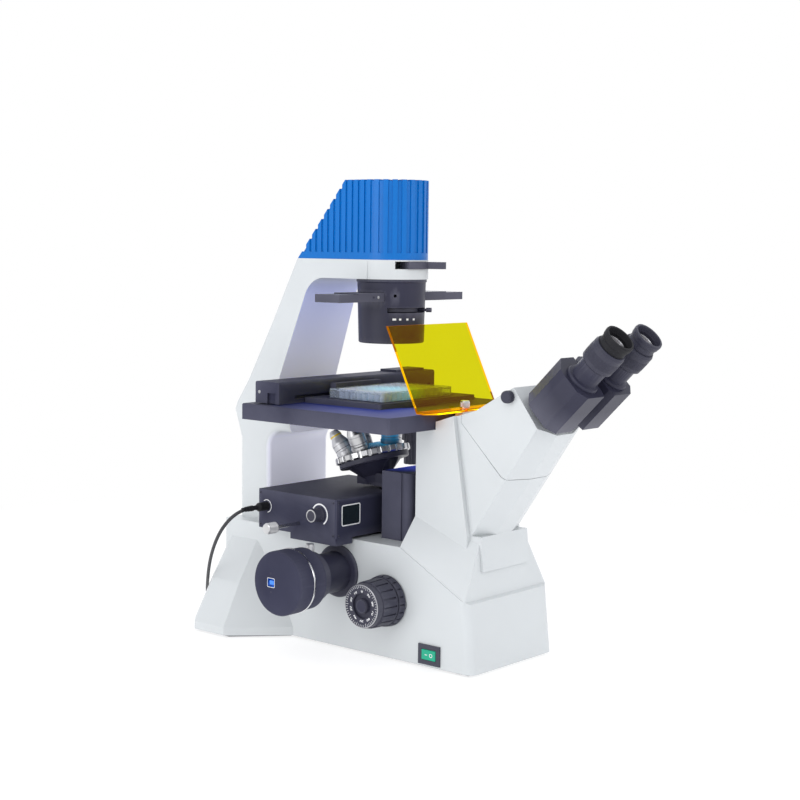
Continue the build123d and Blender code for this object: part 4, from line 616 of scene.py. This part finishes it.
cord_points = coiled_route()
curve = bpy.data.curves.new("dc_lead", "CURVE")
curve.dimensions = "3D"
curve.bevel_depth = CORD_RADIUS * MM
curve.bevel_resolution = 5
curve.resolution_u = 8
curve.use_fill_caps = True
spline = curve.splines.new("NURBS")
spline.points.add(len(cord_points) - 1)
for point, place in zip(spline.points, cord_points):
    point.co = (place.x * MM, place.y * MM, place.z * MM, 1.0)
spline.order_u = 3
spline.use_endpoint_u = True
lead = bpy.data.objects.new("dc_lead", curve)
scene.collection.objects.link(lead)
curve.materials.append(WIRE)
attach(lead, "stand")
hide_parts("dc_cord", "dc_coil")
relief = lathe("dc_relief", (PLUG_END, JACK_Y, JACK_Z), (-1, 0, 0),
               [(0, -1), (3.3, -1), (3.3, 2.0), (2.75, 2.4), (2.75, 4.0), (3.15, 4.4), (3.15, 6.2),
                (2.6, 6.6), (2.6, 8.2), (2.95, 8.6), (2.95, 10.2), (2.45, 10.6), (2.3, 15.0), (0, 15.0)],
               RUBBER, "stand")


# Focus knobs: ticks, plain figures, a bright rim and a cap on the left fine knob's dial

FOCUS = (-63.0, 67.0)
FIGURE_RADIUS = 17.0


def cone_ticks(name, origin, direction, count, inner, outer, height, width, material, body):
    """Fine radial ticks on a dished dial, every fifth one longer; height(r) is the dial's surface in mm."""
    x, y, z = axes(direction)
    o = Vector(origin) * MM
    bm = bmesh.new()
    for k in range(count):
        first = inner if k % 5 else inner - 1.1
        a = 2 * math.pi * k / count
        radial = x * math.cos(a) + y * math.sin(a)
        across = y * math.cos(a) - x * math.sin(a)
        corners = []
        for lift in (-0.1, 0.09):
            for r, w in ((first, -width), (outer, -width), (outer, width), (first, width)):
                corners.append(bm.verts.new(o + (radial * r + across * w / 2 + z * (height(r) + lift)) * MM))
        a0, a1, a2, a3, b0, b1, b2, b3 = corners
        for quad in ((a3, a2, a1, a0), (b0, b1, b2, b3), (a0, a1, b1, b0), (a1, a2, b2, b1), (a2, a3, b3, b2),
                     (a3, a0, b0, b3)):
            bm.faces.new(quad)
    bmesh.ops.recalc_face_normals(bm, faces=bm.faces)
    return built(bm, name, material, body, None)


DIAL_DEPTH = 9.0
dial_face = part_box("fine_knobs")[0].x * TO_MM
dial_back = dial_face + DIAL_DEPTH


def dial_height(r):
    """Distance of the dished dial face from the dial's back, in mm."""
    return 7.0 + (r - 14.0) * 2.0 / 9.0


cone_ticks("dial_ticks", (dial_back, *FOCUS), (-1, 0, 0), 50, 20.4, 22.6, dial_height, 0.36, MARK, "fine")
for k in range(10):
    a = math.radians(36.0 * k)
    up = Vector((0.0, math.sin(a), math.cos(a)))
    across = up.cross(Vector((-1.0, 0.0, 0.0)))
    place = Vector((dial_back - dial_height(FIGURE_RADIUS) - 0.05, FOCUS[0] + up.y * FIGURE_RADIUS,
                    FOCUS[1] + up.z * FIGURE_RADIUS))
    lettering("dial_number_%d" % k, str(k * 10), place, across, up, 5.4, MARK, "fine")
lathe("dial_rim", (dial_back, *FOCUS), (-1, 0, 0),
      [(22.9, 8.9), (23.4, 8.95), (24.0, 8.3), (23.6, 8.2), (22.9, 8.9)], STEEL, "fine", segments=96)
lathe("fine_cap", (dial_back, *FOCUS), (-1, 0, 0),
      [(0, 7.9), (5.0, 7.9), (6.4, 8.1), (6.9, 8.6), (6.9, 8.95), (5.4, 8.7), (0, 8.6)], BLACK_SMOOTH, "fine")


# Eyepieces: a top lens and its retaining ring, on two axes that rise towards the user at 45 degrees

EYE_HALF_SPACING = 27.0
HEAD_Y = -227.0
HEAD_Z = 287.0
TUBE_OFFSET = -14.0
TUBE_START = 4.0
BINO = Vector((0.0, -math.sqrt(0.5), math.sqrt(0.5)))


def eyepiece_axis(side):
    """The foot of an eyepiece's axis, in mm."""
    s = math.sin(math.radians(45.0))
    return Vector((side * EYE_HALF_SPACING, HEAD_Y + s * TUBE_OFFSET - s * TUBE_START,
                   HEAD_Z + s * TUBE_OFFSET + s * TUBE_START))


for side, tag in ((-1, "left"), (1, "right")):
    body = tag + "_ocular"
    origin = eyepiece_axis(side)
    lathe("eye_lens_" + tag, origin, BINO,
          [(0, 113.0), (10.2, 113.0), (10.8, 114.0), (10.8, 115.6), (8.4, 117.2), (4.4, 118.3), (0, 118.7)],
          COATED, body, segments=48)
    lathe("eye_retainer_" + tag, origin, BINO,
          [(10.6, 113.2), (12.9, 113.2), (12.9, 117.2), (11.6, 118.2), (10.6, 116.4), (10.6, 113.2)],
          STEEL, body, segments=64)


# Knurled grips on the pull rod, on three screws and round the eyepieces

PULL_ROD_END = (-141.0, 45.0, 144.0)
SHIELD_SCREW_SEAT = (0.0, -110.0, 280.3)
HEAD_SCREW_SEAT = (-42.3, -203.0, 302.0)
CAMERA_SCREW_SEAT = (-122.7, 10.0, 118.3)
knurl("pull_grip", PULL_ROD_END, (-1, 0, 0), 6.0, 1.4, 13.2, SILVER, "filter_rod", count=26, rows=9,
      depth=0.5)
knurl("shield_screw_knurl", SHIELD_SCREW_SEAT, (0, 0, 1), 5.2, 0.8, 5.6, SILVER, "clamp_screw", count=24,
      rows=4)
knurl("head_screw_knurl", HEAD_SCREW_SEAT, (-1, 0, 0), 6.5, 0.8, 5.6, MOULDED, "lock_screw", count=28,
      rows=4)
knurl("camera_screw_knurl", CAMERA_SCREW_SEAT, (0, 0, 1), 4.5, 1.2, 6.6, SILVER, "camera_clamp", count=22,
      rows=5, depth=0.35)
for side, tag in ((-1, "left"), (1, "right")):
    knurl(tag + "_grip", eyepiece_axis(side), BINO, 18.45, 92.0, 12.0, MOULDED, tag + "_ocular", count=60,
          rows=9, depth=0.35)


# Turret: bright grip blocks, a dark disc below them, and bands and lines on each objective

TURRET_APEX = Vector((0.0, 0.0, 134.0))
TURRET_TILT = math.radians(18.0)
TURRET_AXIS = Vector((0.0, math.sin(TURRET_TILT), math.cos(TURRET_TILT)))
SEAT_DISTANCE = 97.0
GRIP_BLOCKS = 24
BLOCK_HALF_WIDTH = 3.9
BLOCK_BOTTOM = 81.6
BLOCK_TOP = 88.6
OBJECTIVES = ((34.0, GREEN_BAND), (28.0, RED_BAND), (37.0, BLUE_BAND), (32.0, YELLOW), (38.0, YELLOW))


def objective_direction(index):
    """The optical axis of one objective: the first is upright, the rest turn about the turret's axis."""
    return Matrix.Rotation(2 * math.pi * index / len(OBJECTIVES), 3, TURRET_AXIS) @ Vector((0.0, 0.0, 1.0))


def grip_blocks(name, material):
    """The bright chamfered blocks between the notches of the turret's gripping ring."""
    x, y, z = axes(TURRET_AXIS, hint=(1.0, 0.0, 0.0))
    o = TURRET_APEX
    bm = bmesh.new()
    for k in range(GRIP_BLOCKS):
        a = math.radians(360.0 / GRIP_BLOCKS * k)
        out = x * math.cos(a) + y * math.sin(a)
        along = y * math.cos(a) - x * math.sin(a)
        rings = []
        for r, inset in ((42.0, 0.0), (43.9, 0.0), (44.5, 0.7)):
            half = BLOCK_HALF_WIDTH - inset
            low = BLOCK_BOTTOM + inset
            high = BLOCK_TOP - inset
            rings.append([bm.verts.new((o + out * r + along * u + z * h) * MM)
                          for u, h in ((-half, low), (half, low), (half, high), (-half, high))])
        for lower, upper in zip(rings, rings[1:]):
            bridge(bm, lower, upper)
        bm.faces.new(rings[0])
        bm.faces.new(rings[-1])
    bmesh.ops.recalc_face_normals(bm, faces=bm.faces)
    return built(bm, name, material, "turret", 20.0)


grip_blocks("turret_grip", SILVER)
lathe("turret_skirt", TURRET_APEX, TURRET_AXIS,
      [(33.0, 74.6), (40.4, 74.6), (41.4, 75.6), (41.4, 80.2), (41.0, 80.7), (33.0, 80.7), (33.0, 74.6)],
      BLACK_SMOOTH, "carrier", segments=96)

for index, (length, band) in enumerate(OBJECTIVES):
    d = objective_direction(index)
    o = TURRET_APEX
    tip = SEAT_DISTANCE + length
    ring = SEAT_DISTANCE + length * 0.40
    lathe("objective_band_%d" % (index + 1), o, d,
          [(6.4, tip - 8.2), (7.16, tip - 8.0), (7.16, tip - 6.2), (6.4, tip - 6.0), (6.4, tip - 8.2)], band,
          "turret", segments=48)
    lathe("objective_line_%d" % (index + 1), o, d,
          [(9.6, 104.0), (10.26, 104.1), (10.26, 104.7), (9.6, 104.8), (9.6, 104.0)], BLACK_SMOOTH, "turret",
          segments=48)
    lathe("objective_ring_%d" % (index + 1), o, d,
          [(9.6, ring), (10.3, ring + 0.1), (10.3, ring + 1.3), (9.6, ring + 1.4), (9.6, ring)],
          GREY_MARK if index == 0 else STEEL, "turret", segments=48)
    lathe("objective_lens_%d" % (index + 1), o, d,
          [(0, tip - 1.4), (2.4, tip - 1.4), (2.6, tip - 0.6), (0, tip - 0.15)], GLASS, "turret", segments=32)


# Fluorescence box: display frame, dial arc, jack ring, corner screws

BOX_LEFT = -105.0
BOX_FRONT = -13.0
low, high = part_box("display_window")
centre = (low + high) * 0.5 * TO_MM
wide = (high.x - low.x) * TO_MM
tall = (high.z - low.z) * TO_MM
plate("display_frame", (centre.x, low.y * TO_MM + 0.05, centre.z), (1, 0, 0), (0, 0, 1),
      rounded(wide + 3.0, tall + 3.0, 2.6), 0.35, MARK, "stand", hole=rounded(wide + 0.6, tall + 0.6, 1.5))
low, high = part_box("intensity_knob")
centre = (low + high) * 0.5 * TO_MM
plate("intensity_arc", (BOX_LEFT, centre.y, centre.z), (0, -1, 0), (0, 0, 1), arc_band(11.6, 1.7, -60, 150),
      0.12, MARK, "stand")
plate("jack_ring", (BOX_LEFT, JACK_Y, JACK_Z), (0, -1, 0), (0, 0, 1), arc_band(7.2, 0.8, -80, 130), 0.12,
      MARK, "stand")
lathe("intensity_ring", (low.x * TO_MM, centre.y, centre.z), (-1, 0, 0),
      [(5.9, -0.4), (7.1, -0.4), (7.1, 0.25), (5.9, 0.25), (5.9, -0.4)], SILVER, "intensity")
for index, (y, z) in enumerate(((-9.0, 136.0), (-9.0, 173.0), (106.0, 136.0), (106.0, 173.0))):
    screw("box_screw_%d" % index, (BOX_LEFT, y, z), (-1, 0, 0), 1.5, BLACK_SMOOTH, "stand", height=0.6)
for index, (x, z) in enumerate(((-101.0, 136.0), (-101.0, 173.0))):
    screw("box_front_screw_%d" % index, (x, BOX_FRONT, z), (0, -1, 0), 1.5, BLACK_SMOOTH, "stand", height=0.6)


# Small screws, scale marks and contacts

CONDENSER_MARKS = Vector((0.0, 0.0, 376.0))
CONDENSER_RADIUS = 38.62
BEAM_END = -115.0
SLIDER_FRONT = -19.0
SLIDER_MIDDLE = 401.0
NOSEPIECE_LEFT = -14.0
INLET_FACE = 200.2
TRAVEL_X = -75.0
TRAVEL_FACE = -90.5
screw("beam_screw_0", (BEAM_END, 98.5, 291.0), (-1, 0, 0), 2.0, STEEL, "y_carriage", height=0.6)
for index, (x, material) in enumerate(((-44.5, STEEL), (-52.5, BLACK_SMOOTH))):
    screw("slider_screw_%d" % index, (x, SLIDER_FRONT, SLIDER_MIDDLE), (0, -1, 0), 1.7, material, "slider",
          height=0.4)
for index, (y, z) in enumerate(((22.0, 191.5), (17.0, 184.5))):
    screw("nose_screw_%d" % index, (NOSEPIECE_LEFT, y, z), (-1, 0, 0), 1.8, CHROME, "carrier", height=0.9)
for index, angle in enumerate((226.0, 236.0, 249.0, 262.0)):
    a = math.radians(angle)
    out = Vector((math.cos(a), math.sin(a), 0.0))
    plate("aperture_mark_%d" % index, CONDENSER_MARKS + out * (CONDENSER_RADIUS - 0.02 * index),
          (-out.y, out.x, 0.0), (0, 0, 1), rounded(2.6 if index else 4.2, 2.2, 0.3, steps=2), 0.3, MARK,
          "stand")
for index, (x, z) in enumerate(((-42.0, 38.0), (-35.0, 42.0), (-28.0, 38.0))):
    plate("inlet_contact_%d" % index, (x, INLET_FACE, z), (-1, 0, 0), (0, 0, 1),
          rounded(2.3, 4.3, 0.4, steps=2), 0.4, STEEL, "stand")
plate("travel_mark", (TRAVEL_X, TRAVEL_FACE, 66.0), (0, -1, 0), (0, 0, 1),
      [(-0.5, -4.5), (1.2, -2.6), (2.0, 0.0), (1.2, 2.6), (-0.5, 4.5), (0.6, 2.2), (1.2, 0.0), (0.6, -2.2)],
      0.12, GREY_MARK, "stand")
plate("travel_arrow", (TRAVEL_X, TRAVEL_FACE, 61.4), (0, -1, 0), (0, 0, 1),
      [(-1.6, 1.0), (0.4, -0.4), (0.2, 1.8)], 0.12, GREY_MARK, "stand")
low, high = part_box("power_rocker")
centre = (low + high) * 0.5 * TO_MM
rocker_face = low.x * TO_MM - 0.02
plate("rocker_line", (rocker_face, centre.y + 3.2, centre.z), (0, -1, 0), (0, 0, 1),
      rounded(3.6, 0.8, 0.3, steps=2), 0.15, MARK, "rocker")
plate("rocker_ring", (rocker_face, centre.y - 3.6, centre.z), (0, -1, 0), (0, 0, 1),
      rounded(4.4, 4.4, 2.2, steps=6), 0.15, MARK, "rocker", hole=rounded(3.0, 3.0, 1.5, steps=6))


# Well plate: a clear moulding with its skirt, deck and 96 round wells

WELL_PITCH = 9.0
WELL_COLUMNS = 12
WELL_ROWS = 8
WELL_SIDES = 20
PLATE_CORNER = 3.0


def well_plate():
    """Thin outer walls, a sunk deck and round wells with raised rims."""
    low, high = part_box("microplate")
    cx = (low.x + high.x) * 0.5 * TO_MM
    cy = (low.y + high.y) * 0.5 * TO_MM
    wide = (high.x - low.x) * TO_MM
    deep = (high.y - low.y) * TO_MM
    foot = low.z * TO_MM
    rim = high.z * TO_MM
    bm = bmesh.new()

    def ring_at(inset, z):
        return [bm.verts.new(((cx + u) * MM, (cy + v) * MM, z * MM))
                for u, v in rounded(wide - inset, deep - inset, PLATE_CORNER)]

    outer = [ring_at(0.0, foot), ring_at(0.0, foot + 2.5), ring_at(3.0, foot + 2.7), ring_at(3.2, rim - 0.3),
             ring_at(3.8, rim)]
    inner = [ring_at(5.6, rim), ring_at(5.8, rim - 1.6)]
    under = [ring_at(5.8, rim - 2.6), ring_at(5.4, foot + 2.6), ring_at(2.4, foot + 1.4), ring_at(2.4, foot)]
    for a, b in zip(outer + inner, (outer + inner)[1:]):
        bridge(bm, a, b)
    bm.faces.new(inner[-1])
    for a, b in zip(under, under[1:]):
        bridge(bm, a, b)
    bm.faces.new(under[0])
    bridge(bm, under[-1], outer[0])
    bmesh.ops.recalc_face_normals(bm, faces=bm.faces)
    piece = built(bm, "well_plate", PLATE, "plate", 40.0)
    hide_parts("microplate")

    bm = bmesh.new()
    well = ((3.95, rim - 1.7), (3.95, rim - 0.35), (3.45, rim - 0.35), (3.25, foot + 1.9), (0.0, foot + 1.9))
    for i in range(WELL_COLUMNS):
        for j in range(WELL_ROWS):
            x = cx + (i - (WELL_COLUMNS - 1) / 2) * WELL_PITCH
            y = cy + (j - (WELL_ROWS - 1) / 2) * WELL_PITCH
            turned_skin(bm, (x, y, 0.0), (0, 0, 1), well, WELL_SIDES)
    built(bm, "plate_wells", WELLS, "plate", 40.0)


well_plate()


# Camera: bright ring, socket with its metal shell, insert and tongue, two small screws

CAMERA_FACE_X = -175.0
CAMERA_AXIS_Y = 10.0
CAMERA_AXIS_Z = 90.0
PORT_Y = 19.0
lathe("camera_ring", (0, CAMERA_AXIS_Y, CAMERA_AXIS_Z), (-1, 0, 0),
      [(34.5, 150.6), (36.35, 150.8), (36.5, 151.3), (36.5, 152.7), (36.35, 153.2), (34.5, 153.4),
       (34.5, 150.6)], CHROME, "camera", segments=128)
PORT_PLACE = (CAMERA_FACE_X + 8.0, PORT_Y, CAMERA_AXIS_Z)
plate("camera_shell", PORT_PLACE, (0, -1, 0), (0, 0, 1), rounded(11.7, 10.7, 1.6), 7.8, CHROME, "camera",
      hole=rounded(10.3, 9.3, 1.2))
plate("camera_insert", PORT_PLACE, (0, -1, 0), (0, 0, 1), rounded(10.2, 9.2, 1.2), 1.4, PORT, "camera")
plate("camera_tongue", PORT_PLACE, (0, -1, 0), (0, 0, 1), rounded(6.4, 4.4, 0.8), 6.6, PORT, "camera")
for index, z in enumerate((79.6, 100.4)):
    screw("camera_face_screw_%d" % index, (CAMERA_FACE_X + 0.25, PORT_Y, z), (-1, 0, 0), 1.3, BLACK_SMOOTH,
          "camera", height=0.3)


# Floor and surroundings, both white to the rays that reach the picture; then the lamps

WORLD_GLOSS_SHARE = 0.35
FLOOR_HALF = 12.0
FLOOR_DROP = 0.0002
floor_mat = bpy.data.materials.new("floor")
floor_mat.use_nodes = True
tree = floor_mat.node_tree
bsdf = tree.nodes["Principled BSDF"]
bsdf.inputs["Base Color"].default_value = (0.88, 0.88, 0.89, 1.0)
bsdf.inputs["Roughness"].default_value = 0.7
bsdf.inputs["Emission Color"].default_value = (1.0, 1.0, 1.0, 1.0)
bsdf.inputs["Emission Strength"].default_value = 0.35
white = tree.nodes.new("ShaderNodeEmission")
white.inputs["Color"].default_value = (1.0, 1.0, 1.0, 1.0)
coord = tree.nodes.new("ShaderNodeTexCoord")
reach = tree.nodes.new("ShaderNodeVectorMath")
reach.operation = "LENGTH"
mix = tree.nodes.new("ShaderNodeMixShader")
tree.links.new(coord.outputs["Object"], reach.inputs[0])
fade = ramped(tree, reach.outputs["Value"], 0.30, 1.1, 0.62, 1.0)
tree.links.new(combined(tree, "MULTIPLY", seen_directly(tree, 1.0), fade), mix.inputs["Fac"])
tree.links.new(bsdf.outputs["BSDF"], mix.inputs[1])
tree.links.new(white.outputs["Emission"], mix.inputs[2])
tree.links.new(mix.outputs["Shader"], tree.nodes["Material Output"].inputs["Surface"])
floor_mesh = bpy.data.meshes.new("floor")
corners = [(u * FLOOR_HALF, v * FLOOR_HALF, 0.0) for u, v in ((-1, -1), (1, -1), (1, 1), (-1, 1))]
floor_mesh.from_pydata(corners, [], [(0, 1, 2, 3)])
floor = bpy.data.objects.new("floor", floor_mesh)
floor.location = (0.0, 0.0, -FLOOR_DROP)
scene.collection.objects.link(floor)
floor_mesh.materials.append(floor_mat)

world = bpy.data.worlds.new("world")
world.use_nodes = True
scene.world = world
tree = world.node_tree
for node in list(tree.nodes):
    tree.nodes.remove(node)
output = tree.nodes.new("ShaderNodeOutputWorld")
fill = tree.nodes.new("ShaderNodeBackground")
fill.inputs["Color"].default_value = (0.93, 0.95, 1.0, 1.0)
fill.inputs["Strength"].default_value = 0.90
back = tree.nodes.new("ShaderNodeBackground")
back.inputs["Color"].default_value = (1.0, 1.0, 1.0, 1.0)
back.inputs["Strength"].default_value = 1.0
mix = tree.nodes.new("ShaderNodeMixShader")
tree.links.new(seen_directly(tree, WORLD_GLOSS_SHARE), mix.inputs["Fac"])
tree.links.new(fill.outputs["Background"], mix.inputs[1])
tree.links.new(back.outputs["Background"], mix.inputs[2])
tree.links.new(mix.outputs["Shader"], output.inputs["Surface"])


def softbox(name, place, target, size, power):
    """A large square white area lamp aimed at a point."""
    data = bpy.data.lights.new(name, "AREA")
    data.shape = "SQUARE"
    data.size = size
    data.energy = power
    lamp = bpy.data.objects.new(name, data)
    lamp.location = place
    lamp.rotation_mode = "QUATERNION"
    lamp.rotation_quaternion = (Vector(target) - Vector(place)).to_track_quat("-Z", "Y")
    scene.collection.objects.link(lamp)


softbox("key", (-1.6, -0.4, 1.5), (0.0, 0.0, 0.25), 1.2, 6.5)
softbox("front", (0.5, -1.9, 1.2), (0.0, 0.0, 0.25), 1.2, 9.0)
softbox("top", (0.1, 0.3, 2.0), (0.0, 0.0, 0.2), 1.4, 3.0)
softbox("low_left", (-1.9, 0.35, 0.35), (0.0, 0.0, 0.15), 1.3, 10.0)
softbox("rear", (1.3, 1.4, 1.2), (0.0, 0.0, 0.25), 1.2, 7.0)
